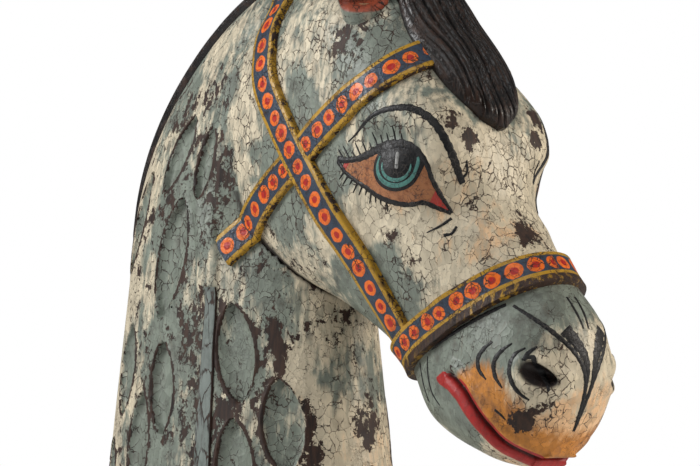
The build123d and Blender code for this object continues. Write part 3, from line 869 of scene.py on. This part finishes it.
def dotted_band(material, middle, half, edge_low, loss):
    """A navy strip of some half width round a middle line, edged in mustard, bare past edge_low."""
    material.use_nodes = True
    tree = material.node_tree
    handled = place_group(tree, HANDLED, {"Size": 1.6})
    spot = add(tree, "TexCoord").outputs["Object"]
    shake = calc(tree, "MULTIPLY_ADD", noise(tree, spot, 210.0, 3.0), 2.0, -1.0)
    across = calc(tree, "SUBTRACT", fact(tree, "across"), middle)
    along = calc(tree, "DIVIDE", fact(tree, "along"), DOT_PITCH)
    number = calc(tree, "FLOOR", along)
    local = calc(tree, "MULTIPLY", calc(tree, "SUBTRACT", calc(tree, "FRACT", along), 0.5), DOT_PITCH)
    nudge = add(tree, "TexWhiteNoise", {"W": number}, noise_dimensions="1D")
    local = calc(tree, "ADD", local, ramp(tree, nudge.outputs["Value"], 0, 1, -0.7, 0.7))
    size = ramp(tree, nudge.outputs["Value"], 0, 1, 0.88, 1.06)
    reach = calc(tree, "SQRT", calc(tree, "ADD", calc(tree, "MULTIPLY", local, local),
                                   calc(tree, "MULTIPLY", across, across)))
    reach = calc(tree, "MULTIPLY", calc(tree, "ADD", reach, shake), size)
    distance = calc(tree, "ADD", calc(tree, "ABSOLUTE", across), calc(tree, "MULTIPLY", shake, 0.35))
    colour = blend_colour(tree, handled["Stain"], NAVY, (0.014, 0.019, 0.028))
    orange = blend_colour(tree, handled["Stain"], ORANGE, (0.40, 0.075, 0.02))
    colour = blend_colour(tree, ramp(tree, reach, DOT_RADIUS, DOT_RADIUS + 0.4, 1.0, 0.0), colour, orange)
    colour = blend_colour(tree, ramp(tree, reach, DOT_MIDDLE, DOT_MIDDLE + 0.7, 1.0, 0.0), colour, DOT_RED)
    mustard = blend_colour(tree, handled["Stain"], MUSTARD, (0.15, 0.08, 0.015))
    wood = place_group(tree, OLD_WOOD, {"Darkness": 0.15})
    low_side = calc(tree, "LESS_THAN", across, 0.0)
    outside = ramp(tree, distance, half - 0.25, half + 0.25)
    colour = blend_colour(tree, outside, colour, mustard)
    below = ramp(tree, distance, edge_low - 0.3, edge_low + 0.3)
    bare_zone = calc(tree, "MULTIPLY", low_side, below)
    rub = ramp(tree, calc(tree, "ABSOLUTE", fact(tree, "edge")), 0.86, 1.0, 0.0, 0.14)
    wear = place_group(tree, FLAKING, {"Flakes per metre": 260.0, "Crack width": 0.05, "Crazing": 0.35,
                                       "Loss": calc(tree, "ADD", rub, loss)})
    smear = ramp(tree, handled["Brush"], 0.50, 0.62)
    kept = calc(tree, "MULTIPLY", smear, handled["Fade"])
    bare_zone = calc(tree, "MULTIPLY", bare_zone, calc(tree, "SUBTRACT", 1.0, kept))
    bare = calc(tree, "MAXIMUM", wear["Bare"], bare_zone)
    colour = blend_colour(tree, bare, colour, wood["Color"])
    rough = ramp(tree, bare, 0, 1, 0.36, 0.55)
    dots = ramp(tree, reach, 3.6, 4.6, 0.35, 0.0)
    height = calc(tree, "ADD", calc(tree, "ADD", wear["Height"], dots), wood["Height"])
    finish_material(material, colour, rough, height)


strap_paint = bpy.data.materials.new("Bridle paint")
dotted_band(strap_paint, 0.0, 7.0, BEYOND_EDGE, 0.0)
for name, hand in HANDS:
    upper = route_points(CROWN_ROUTE, hand)
    lower = route_points(CHEEK_ROUTE, hand)
    line, along = even_line(np.concatenate([lower[::-1], upper[1:]]), BAND_STEP)
    cut = int(np.argmin(np.linalg.norm(line - upper[0], axis=1)))
    finish_piece(f"Relief_{name}_crown_strap", band(line[cut:], along[cut:], STRAP_HALF, STRAP_LIFT),
                 strap_paint, [f"{name}_crown_strap"])
    finish_piece(f"Relief_{name}_cheek_strap",
                 band(line[:cut + 1], along[:cut + 1], STRAP_HALF, STRAP_LIFT),
                 strap_paint, [f"{name}_cheek_strap"])
    brow = route_points(BROW_ROUTE, hand)
    throat = route_points(THROAT_ROUTE, hand)
    line, along = even_line(np.concatenate([throat[::-1], brow[1:]]), BAND_STEP)
    cut = int(np.argmin(np.linalg.norm(line - brow[0], axis=1)))
    finish_piece(f"Relief_{name}_brow_strap", band(line[cut:], along[cut:], STRAP_HALF, UNDER_LIFT),
                 strap_paint, [f"{name}_brow_strap"])
    finish_piece(f"Relief_{name}_throat_strap",
                 band(line[:cut + 1], along[:cut + 1], STRAP_HALF, UNDER_LIFT),
                 strap_paint, [f"{name}_throat_strap"])

# ------------------------------------------------------------------ noseband
# A broader raised band that goes right round the nose and hides the muzzle's glue joint. Its
# lower part is bare, rubbed wood.

NOSEBAND_HALF = 10.8


def head_points(places, hand=1):
    """Surface points from (along the head, degrees round its axis from the face)."""
    along, turn = np.array(places, float).T
    forward, up = from_head(along, HEAD_AXIS_OUT)
    turn = np.radians(turn)
    out = (math.sin(FACE_SLOPE), math.cos(FACE_SLOPE))
    ways = np.stack([hand * np.sin(turn), -np.cos(turn) * out[0], np.cos(turn) * out[1]], 1)
    return cast(head_distance, np.stack([0 * forward, -forward, up], 1), ways)


ring = head_points([(MUZZLE_JOINT, turn) for turn in np.linspace(0, 360, 121)])
ring, ring_along = even_line(ring, BAND_STEP)
ring, ring_along = ring[:-1], ring_along[:-1]
noseband_paint = bpy.data.materials.new("Noseband paint")
dotted_band(noseband_paint, 2.6, 5.6, 8.0, 0.02)


def loop_band(line, along):
    """The noseband's skin: the tangent wraps round at the join."""
    padded = np.concatenate([line[-3:], line, line[:3]])
    share = np.array([-1, -0.97, -0.9, -0.6, -0.3, 0, 0.3, 0.6, 0.9, 0.97, 1.0])
    lift = STRAP_LIFT + 0.5 - np.where(np.abs(share) > 0.99, 0.95, 0)
    grid = ribbon_grid(head_distance, padded, NOSEBAND_HALF * share)[3:-3]
    facts = {"along": along[:, None], "across": NOSEBAND_HALF * share, "edge": share}
    return skin(head_distance, grid, lift, BAND_SINK, facts, closed=True)


finish_piece("Relief_noseband", loop_band(ring, ring_along), noseband_paint,
             ["noseband"])

# ------------------------------------------------------------------ seam strips
# A low raised strip is left over the upright glue joint on each side of the neck.


def strip_tint(tree, handled):
    """Plain grey-blue, stained darker."""
    return blend_colour(tree, handled["Stain"], (0.17, 0.195, 0.18), DEEP_BLUE)


def edge_loss(tree):
    """Paint is rubbed off a strip's two edges."""
    return ramp(tree, calc(tree, "ABSOLUTE", fact(tree, "edge")), 0.80, 1.0, -0.08, 0.45)


strip_paint = bpy.data.materials.new("Strip paint")
painted(strip_paint, strip_tint, 150.0, 0.05, 0.5, edge_loss, 0.3)
for name, hand in HANDS:
    ups = np.linspace(1.0, 188.0, 12)
    middles = 18.5 + 0 * ups
    route = [(f, u, 90) for f, u in zip(middles, ups)]
    line, along = even_line(route_points(route, hand), 2.2)
    half = 8.4 - 4.4 * along / along[-1]
    finish_piece(f"Relief_{name}_seam_strip", band(line, along, half, 1.3), strip_paint,
                 [f"{name}_seam_strip"])

# ------------------------------------------------------------------ forelock and crest
# Both are carved in relief with long V-gouge strokes for the hair. They are painted glossy black
# and rubbed to brown on the ridges.

FORELOCK_HALF = np.array([(-66.0, 15.0), (-50.0, 19.0), (-33.0, 23.0), (-4.0, 28.0), (20.0, 29.0),
                          (40.0, 26.0), (54.0, 19.5), (63.0, 11.0), (68.5, 2.0)])
RUBBED_HAIR = (0.050, 0.026, 0.017)
HAIR_ROUGH = 0.28


def hair_material(material):
    """Glossy black, rubbed to brown on the ridges, with painted shade darkest in the gouge lines."""
    material.use_nodes = True
    tree = material.node_tree
    handled = place_group(tree, HANDLED, {"Size": 1.5})
    wood = place_group(tree, OLD_WOOD, {"Darkness": 0.2})
    wear = place_group(tree, FLAKING, {"Flakes per metre": 300.0, "Crack width": 0.06,
                                       "Crazing": 0.4, "Loss": 0.10, "Upright stretch": 0.5})
    groove = fact(tree, "groove")
    high = calc(tree, "MULTIPLY", ramp(tree, groove, 0.05, 0.5, 1.0, 0.0), handled["Stain"])
    colour = blend_colour(tree, handled["Fade"], (0.006, 0.0055, 0.006), (0.016, 0.013, 0.012))
    colour = blend_colour(tree, high, colour, RUBBED_HAIR)
    bare = calc(tree, "MULTIPLY", wear["Bare"], 0.8)
    colour = blend_colour(tree, bare, colour, wood["Color"])
    # painted shade: the gouge lines are darkened almost to black in the colour
    colour = blend_colour(tree, ramp(tree, groove, 0.4, 1.0, 0.0, 0.85), colour, (0.004, 0.004, 0.004))
    rough = ramp(tree, handled["Stain"], 0, 1, HAIR_ROUGH, HAIR_ROUGH + 0.2)
    finish_material(material, colour, rough, calc(tree, "ADD", wear["Height"], handled["Brush"]))


hair_paint = bpy.data.materials.new("Hair paint")
hair_material(hair_paint)


def gouged(across, along, strokes, depth):
    """Uneven lengthwise gouge strokes, in millimetres below the surface."""
    wander = 0.35 * np.sin(along * 0.045 + across * 5.0) + 0.2 * np.sin(along * 0.11 + 2.0)
    wave = across * strokes + wander
    return depth * (0.5 + 0.5 * np.cos(2 * np.pi * wave)) ** 3 * (
        0.65 + 0.35 * np.sin(np.floor(wave + 0.5) * 2.4 + along * 0.05))


places = np.linspace(FORELOCK_HALF[0, 0], FORELOCK_HALF[-1, 0], 150)
half = along_table(FORELOCK_HALF, places)[0]
share = np.sin(np.linspace(-0.5, 0.5, 121) * np.pi) * 0.4 + np.linspace(-1, 1, 121) * 0.6
side = half[:, None] * share
forward, up = from_head(places, 0.0)
origins = np.stack([side, -forward[:, None] + 0 * side, up[:, None] + 0 * side], -1).reshape(-1, 3)
ways = np.tile([0.0, -math.sin(FACE_SLOPE), math.cos(FACE_SLOPE)], (len(origins), 1))
grid = cast(whole_form, origins, ways, far=130.0).reshape(len(places), len(share), 3)
lift = 10.0 * (1 - np.abs(share) ** 4) ** 0.6 * (0.55 + 0.45 * step_up(half, 2, 18))[:, None]
lift = lift - gouged(share * half[:, None] / 29.0, places[:, None], 8.0, 2.6) * (1 - share**4)
facts = {"along": places[:, None] - places[0], "across": share * 20.0, "edge": share,
         "groove": gouged(share * half[:, None] / 29.0, places[:, None], 8.0, 1.0)}
finish_piece("Carved_forelock", skin(whole_form, grid, np.maximum(lift, 0.3), 1.5, facts),
             hair_paint, ["forelock"])

CREST_HALF = 12.5
CREST_LIFT = 5.2
turns = np.radians(np.linspace(101.0, 4.0, 60))
origins = np.tile([0.0, -THROAT_PIVOT[0], THROAT_PIVOT[1]], (60, 1))
ways = np.stack([0 * turns, np.cos(turns), np.sin(turns)], 1)
line, along = even_line(cast(whole_form, origins, ways, far=260.0), 1.6)
share = np.linspace(-1, 1, 49)
width = CREST_HALF * (1 - 0.25 * step_up(along, along[-1] - 60, along[-1]))[:, None]
grid = ribbon_grid(whole_form, line, width * share)
groove = gouged(share + 0 * along[:, None], along[:, None], 3.6, 1.0)
lift = CREST_LIFT * (1 - np.abs(share) ** 6) ** 0.5 - 2.3 * groove * (1 - share**4)
lift = lift * (1 - 0.8 * step_up(along, along[-1] - 14, along[-1]))[:, None]
facts = {"along": along[:, None], "across": width * share, "edge": share, "groove": groove}
finish_piece("Carved_mane_crest", skin(whole_form, grid, np.maximum(lift, 0.3), 1.5, facts),
             hair_paint, ["mane_crest"])

# ------------------------------------------------------------------ ears
# Each ear is whittled separately, hollowed like a leaf, and glued in on a turned tenon. The
# hollow faces outwards and forwards and is painted red.

EAR_ROOT = (35.0, -131.0, 352.0)
# height, half width, half depth
EAR_SECTIONS = np.array([(-8.0, 12.0, 8.6), (2.0, 14.5, 10.4), (12.0, 16.4, 11.3), (26.0, 17.5, 11.5),
                         (46.0, 13.5, 9.0), (62.0, 7.0, 5.5), (70.0, 3.0, 2.6), (72.0, 0.8, 0.8)])


def ear_tint(tree, handled):
    """Grey-green outside and a dirty orange-red in the hollow."""
    outside = blend_colour(tree, handled["Stain"], BLUE, (0.40, 0.36, 0.28))
    inside = blend_colour(tree, handled["Fade"], (0.42, 0.085, 0.03), (0.26, 0.05, 0.03))
    inside = blend_colour(tree, handled["Stain"], inside, (0.10, 0.035, 0.02))
    return blend_colour(tree, ramp(tree, fact(tree, "inside"), 0.10, 0.30), outside, inside)


ear_paint = bpy.data.materials.new("Ear paint")
painted(ear_paint, ear_tint, 230.0, 0.07, 0.5, 0.0)


def ear_mesh(hand):
    """One hollowed ear, in metres."""
    root = np.array([hand * EAR_ROOT[0], EAR_ROOT[1], EAR_ROOT[2]])
    lean = unit(np.array([hand * 0.16, -0.10, 1.0]))
    mouth = np.array([hand * 0.75, -0.66, 0.0])
    mouth = unit(mouth - lean * (mouth @ lean))
    broad = np.cross(lean, mouth)
    heights = np.concatenate([np.linspace(-8, 60, 40), np.linspace(62, 72, 9)])
    wide, deep = along_table(EAR_SECTIONS, heights)
    turn = np.linspace(0, 2 * np.pi, 65)[:-1]
    hollow = step_up(heights, -2.0, 12.0)[:, None] * (1 - 0.5 * step_up(heights, 60, 72))[:, None]
    front = np.sin(turn) > 0
    inner = np.where(front, hollow, 0)
    x = wide[:, None] * np.cos(turn) * (1 - 0.12 * inner * np.sin(turn))
    y = deep[:, None] * np.sin(turn) * np.where(front, 1 - 1.62 * hollow, 1.0)
    y = y + 0.55 * deep[:, None] * np.abs(np.cos(turn)) ** 3 * hollow
    points = root + lean * heights[:, None, None] + broad * x[..., None] + mouth * y[..., None]
    rows, columns = x.shape
    index = np.arange(rows * columns).reshape(rows, columns)
    ahead = np.roll(index, -1, 1)
    quads = np.stack([index[:-1], ahead[:-1], ahead[1:], index[1:]], -1).reshape(-1, 4).tolist()
    mesh = bpy.data.meshes.new("ear")
    mesh.from_pydata((points.reshape(-1, 3) * MM).tolist(), [],
                     quads + [index[0, ::-1].tolist(), index[-1].tolist()])
    layer = mesh.attributes.new("inside", "FLOAT", "POINT")
    inside = np.broadcast_to(np.sin(turn), x.shape) * step_up(heights, -3.0, 6.0)[:, None]
    layer.data.foreach_set("value", inside.reshape(-1).astype(np.float32))
    made = bmesh.new()
    made.from_mesh(mesh)
    bmesh.ops.recalc_face_normals(made, faces=made.faces[:])
    made.to_mesh(mesh)
    made.free()
    return mesh


for name, hand in HANDS:
    finish_piece(f"Carved_{name}_ear", ear_mesh(hand), ear_paint, [f"{name}_ear"])

# ------------------------------------------------------------------ bare dowels and tenons
# Turned hardwood pins, glued across the joints between the blocks and under the ears. They are
# out of sight and left unpainted.

def bare_tint(tree, handled):
    """Pale new wood with darker streaks."""
    return blend_colour(tree, handled["Brush"], (0.30, 0.17, 0.085), (0.42, 0.27, 0.15))


bare_wood = bpy.data.materials.new("Bare dowel wood")
painted(bare_wood, bare_tint, 120.0, 0.01, 0.0, -0.6)
for node in ("neck_dowels", "collar_dowels", "head_dowels", "muzzle_dowels", "ear_tenons"):
    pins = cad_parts[node]
    pins.data.materials.clear()
    pins.data.materials.append(bare_wood)

# ------------------------------------------------------------------ brush marks
# The face is drawn with a pointed brush in thick black paint. Each mark is a low ridge of paint
# that lies on the carved surface; places are along the head and degrees round it from the face.


def joined(meshes):
    """One mesh from several."""
    made = bmesh.new()
    for mesh in meshes:
        made.from_mesh(mesh)
    out = bpy.data.meshes.new("marks")
    made.to_mesh(out)
    made.free()
    return out


def stroke(points, widths, lift=0.35):
    """One brush stroke through surface points, with full widths spaced evenly along it."""
    line, along = even_line(points, 0.9)
    width = np.interp(along / along[-1], np.linspace(0, 1, len(widths)), widths)
    width = width * (1 + 0.10 * np.sin(along * 1.1) + 0.06 * np.sin(along * 2.7 + 1.0))
    share = np.array([-1.0, -0.7, 0.0, 0.7, 1.0])
    grid = ribbon_grid(head_distance, line, 0.5 * width[:, None] * share)
    edge = 1 - np.abs(share) ** 3
    ends = np.clip(np.minimum(along, along[-1] - along) / 0.9, 0.3, 1)[:, None]
    return skin(head_distance, grid, 0.06 + lift * edge * ends, 0.5, {"edge": share})


def paint_material(name, base, worn, ground, amount, gloss=0.35):
    """Brushed colour with small stains, and chips that show the ground."""
    material = bpy.data.materials.new(name)
    material.use_nodes = True
    tree = material.node_tree
    handled = place_group(tree, HANDLED, {"Size": 2.2})
    wear = place_group(tree, FLAKING, {"Flakes per metre": 330.0, "Crack width": 0.05,
                                       "Crazing": 0.5, "Loss": amount})
    colour = blend_colour(tree, handled["Stain"], base, worn)
    colour = blend_colour(tree, wear["Bare"], colour, ground)
    rough = ramp(tree, handled["Stain"], 0, 1, gloss, gloss + 0.2)
    finish_material(material, colour, rough, calc(tree, "ADD", wear["Height"], handled["Brush"]))
    return material


black_line = paint_material("Black line paint", (0.004, 0.004, 0.005), (0.014, 0.013, 0.013),
                            (0.050, 0.042, 0.036), -0.05, 0.42)
eye_white = paint_material("Eye ground paint", (0.37, 0.155, 0.066), (0.16, 0.05, 0.022),
                           (0.10, 0.045, 0.03), 0.08)
corner_red = paint_material("Eye corner paint", (0.42, 0.045, 0.035), (0.30, 0.05, 0.04),
                            (0.20, 0.07, 0.05), -0.03)
iris_teal = paint_material("Iris paint", (0.085, 0.235, 0.205), (0.05, 0.13, 0.12),
                           (0.03, 0.05, 0.05), -0.06)
glint_grey = paint_material("Glint paint", (0.30, 0.30, 0.29), (0.16, 0.16, 0.15),
                            (0.06, 0.06, 0.06), -0.05)

UPPER_LID = [(46, 115), (50, 110), (54, 101), (57, 85), (60, 73), (65, 64), (72, 59), (79, 57.5),
             (88, 58.5), (97, 58), (109, 55)]
LOWER_LID = [(47, 115), (55, 113), (63, 109), (73, 102.5), (82, 96), (89, 89), (95, 80),
             (98, 70), (103, 64), (109, 56)]
BROW = [(41, 104), (39, 88), (38, 75), (42, 61), (46, 54), (53, 48.5), (61, 45), (71, 43),
        (80, 42), (89, 41), (95, 40)]
FACE_STROKES = [
    (BROW, (0.8, 2.0, 3.2, 4.2, 5.0, 5.2, 5.0, 3.8)),
    ([(92, 38.5), (91, 36), (85, 34)], (1.6, 1.6, 1.2)),
    ([(114, 78), (114, 66), (112, 57)], (0.6, 1.5, 1.9)),
    ([(120, 67), (121, 61), (118, 55.5)], (1.8, 1.7, 1.6)),
    ([(192, 61), (193, 70), (196, 78), (202, 81), (210, 78)], (1.2, 3.0, 3.2, 2.8, 1.0)),
    ([(199, 48), (200, 57), (204, 66), (211, 69), (220, 67)], (0.9, 2.8, 3.2, 2.8, 1.0)),
    ([(205, 41), (206, 49), (212, 56), (221, 58), (229, 55), (233, 51)],
     (0.9, 2.8, 3.3, 3.0, 2.4, 1.2)),
    ([(207, 34), (209, 41), (212, 45)], (1.0, 3.0, 2.4)),
    ([(211, 46), (212, 40), (218, 35.5), (226, 33.5), (233, 36)], (1.2, 3.4, 4.4, 3.8, 1.4)),
    ([(177, 38), (190, 30), (203, 22), (214, 14), (223, 8), (231, 4), (240, 2), (251, 1.5)],
     (1.6, 2.6, 3.0, 3.0, 3.0, 3.2, 2.8, 0.8)),
    ([(202, 15), (211, 9.5), (219, 5), (227, 3), (236, 2.5)], (8.5, 8.0, 5.6, 3.2, 1.0)),
    ([(181, 3.5), (192, 3), (203, 2)], (1.4, 2.0, 1.4)),
    ([(174.5, 42), (174, 56), (173.5, 71), (173, 87), (172.6, 103), (172.6, 124)],
     (2.0, 2.6, 2.6, 2.4, 2.0, 1.0)),
    ([(174, 130), (182, 134), (193, 136), (204, 134)], (0.8, 1.4, 1.4, 0.6)),
    ([(173, 140), (184, 143), (197, 144)], (0.8, 1.3, 0.6)),
    ([(228, 82), (233, 79), (236, 78)], (1.4, 1.8, 0.8)),
]
IRIS = (74.0, 74.0)
IRIS_WIDE = 16.4
IRIS_TALL = 13.4


def eye_disc(hand, start, end, inner, outer, lift, steps=48):
    """A flat ring or disc of paint round the iris centre; angles in degrees from forward."""
    centre = head_points([IRIS], hand)
    angles = np.radians(np.linspace(start, end, steps))
    share = np.linspace(0, 1, 8)
    full = 1.0 if end - start == 360 else np.sin(np.linspace(0.12, np.pi - 0.12, steps)) ** 0.6
    radii = outer - (outer - inner) * (1 - share) * np.reshape(full, (-1, 1))
    x = np.cos(angles)[:, None] * radii * IRIS_WIDE
    z = np.sin(angles)[:, None] * radii * IRIS_TALL
    points = np.stack([0 * x + centre[0, 0], centre[0, 1] - x, centre[0, 2] + z], -1)
    grid = settle(head_distance, points.reshape(-1, 3), steps=6, most=4.0).reshape(points.shape)
    edge = np.minimum(np.linspace(0, 1, 8), 1 - np.linspace(0, 1, 8))
    rise = lift - 0.12 * (edge < 0.05) if inner > 0.05 else lift - 0.12 * (np.linspace(0, 1, 8) > 0.95)
    return skin(head_distance, grid, rise, 0.2, {})


def lashes(lid, hand, first, last, count, reach, up):
    """Short tapering strokes that fan out from a lid line."""
    line = even_line(head_points(lid, hand), 0.5)[0]
    made = []
    for i in range(count):
        share = first + (last - first) * i / (count - 1)
        base = line[int(share * (len(line) - 1))]
        length = reach * (0.85 + 0.25 * math.sin(i * 2.3))
        back = (1.0 - i / count) * 0.75 + 0.1
        way = np.array([0.0, back, up])
        way = way / np.linalg.norm(way) * length
        points = settle(head_distance, np.array([base, base + way * 0.55, base + way]))
        made.append(stroke(points, (1.3, 1.25, 1.1, 0.5), 0.4))
    return made


for name, hand in HANDS:
    upper, _ = even_line(head_points(UPPER_LID, hand), 1.0)
    lower, _ = even_line(head_points(LOWER_LID, hand), 1.0)
    rows = 72
    pick = np.linspace(0, 1, rows)
    upper = upper[(pick * (len(upper) - 1)).astype(int)]
    lower = lower[(pick * (len(lower) - 1)).astype(int)]
    between = np.linspace(0, 1, 20)[None, :, None]
    ground = upper[:, None] * (1 - between) + lower[:, None] * between
    ground = settle(head_distance, ground.reshape(-1, 3)).reshape(ground.shape)
    white = skin(head_distance, ground[8:-11], 0.22, 0.3, {})
    finish_piece(f"Brush_{name}_eye_ground", white, eye_white, [])
    corners = joined([skin(head_distance, ground[5:9], 0.22, 0.3, {}),
                      skin(head_distance, ground[-12:-2], 0.24, 0.3, {})])
    finish_piece(f"Brush_{name}_eye_corners", corners, corner_red, [])
    finish_piece(f"Brush_{name}_iris_black", eye_disc(hand, 0, 360, 0.0, 1.12, 0.42), black_line,
                 [])
    rings = [eye_disc(hand, 150, 385, 0.72, 0.94, 0.62), eye_disc(hand, 165, 372, 0.50, 0.66, 0.62)]
    finish_piece(f"Brush_{name}_iris_rings", joined(rings), iris_teal, [])
    centre = head_points([IRIS], hand)[0]
    bar = settle(head_distance, centre + np.array([[0, 0, z] for z in (-1.5, 2.5, 6.5, 9.5)]))
    dot = settle(head_distance, centre + np.array([[0, 2.6, -8.2], [0, 1.4, -8.4], [0, 0.6, -8.6]]))
    glint = joined([stroke(bar, (2.4, 3.0, 3.0, 2.4), 0.75), stroke(dot, (1.2, 1.8, 1.2), 0.8)])
    finish_piece(f"Brush_{name}_glint", glint, glint_grey, [])
    lids = [stroke(head_points(UPPER_LID, hand), (4.0, 3.6, 5.4, 7.0, 6.2, 3.8, 3.0, 3.2, 1.8), 0.62),
            stroke(head_points(LOWER_LID, hand), (3.0, 2.8, 2.8, 3.8, 4.4, 3.8, 3.0, 3.0, 2.2), 0.6)]
    lids += lashes(UPPER_LID, hand, 0.06, 0.50, 11, 10.5, 1.0)
    lids += lashes(LOWER_LID, hand, 0.10, 0.52, 10, 7.5, -1.0)
    finish_piece(f"Brush_{name}_lids", joined(lids), black_line, [])
    marks = [stroke(head_points(points, hand), widths) for points, widths in FACE_STROKES]
    finish_piece(f"Brush_{name}_face_lines", joined(marks), black_line, [])

# ------------------------------------------------------------------ floor, light and camera
# A pale floor under the bust, a soft lamp behind its right shoulder, a warmer one before its
# face, a weak one overhead, and a long lens level with the cheek.

floor_mesh = bpy.data.meshes.new("Floor")
made = bmesh.new()
bmesh.ops.create_circle(made, cap_ends=True, segments=96, radius=1.4)
made.to_mesh(floor_mesh)
made.free()
floor = bpy.data.objects.new("Floor", floor_mesh)
bpy.context.scene.collection.objects.link(floor)
floor_paint = bpy.data.materials.new("Pale floor")
floor_paint.use_nodes = True
tree = floor_paint.node_tree
mottle = noise(tree, add(tree, "TexCoord").outputs["Object"], 9.0, 5.0, 0.6)
pale = blend_colour(tree, ramp(tree, mottle, 0.3, 0.7), (0.78, 0.78, 0.775), (0.83, 0.83, 0.825))
finish_material(floor_paint, pale, ramp(tree, mottle, 0.3, 0.7, 0.5, 0.62), mottle, 0.0002, 0.3)
floor_mesh.materials.append(floor_paint)

# strength of the white surroundings as a light; the camera sees them at full strength
FILL = 0.16
world = bpy.data.worlds.new("Studio")
world.use_nodes = True
bpy.context.scene.world = world
bpy.context.scene.view_settings.view_transform = "Standard"
background = world.node_tree.nodes["Background"]
background.inputs["Color"].default_value = (1.0, 1.0, 1.0, 1)
seen = add(world.node_tree, "LightPath").outputs["Is Camera Ray"]
strength = add(world.node_tree, "MapRange", {"Value": seen, "To Min": FILL, "To Max": 1.0})
world.node_tree.links.new(strength.outputs["Result"], background.inputs["Strength"])


def lamp(name, place, aim, size, power, colour):
    """A square soft lamp at a place, aimed at a point, both in metres."""
    light = bpy.data.lights.new(name, "AREA")
    light.size = size
    light.energy = power
    light.color = colour
    holder = bpy.data.objects.new(name, light)
    bpy.context.scene.collection.objects.link(holder)
    holder.location = place
    holder.rotation_euler = (Vector(aim) - Vector(place)).to_track_quat("-Z", "Y").to_euler()


# place, aim, size, power and colour
lamp("Rear_key", (-1.3, 0.9, 1.1), (0, 0, 0.25), 0.7, 30.0, (1.0, 1.0, 1.0))
lamp("Face_light", (0.9, -1.3, 0.6), (0, -0.15, 0.2), 0.7, 17.0, (1.0, 0.93, 0.84))
lamp("Overhead", (-0.7, -0.7, 1.6), (0, -0.1, 0.25), 0.8, 6.0, (1.0, 1.0, 1.0))

VIEW_DISTANCE = 6.0
VIEW_WIDTH = 0.42
view_back = Vector((-math.sin(math.radians(45)), -math.cos(math.radians(45)), 0))
view_target = Vector((0.042, -0.042, 0.2202))
camera_data = bpy.data.cameras.new("Camera")
camera_data.lens = camera_data.sensor_width * VIEW_DISTANCE / VIEW_WIDTH
camera = bpy.data.objects.new("Camera", camera_data)
bpy.context.scene.collection.objects.link(camera)
camera.location = view_target + view_back * VIEW_DISTANCE
camera.rotation_euler = (-view_back).to_track_quat("-Z", "Y").to_euler()
bpy.context.scene.camera = camera
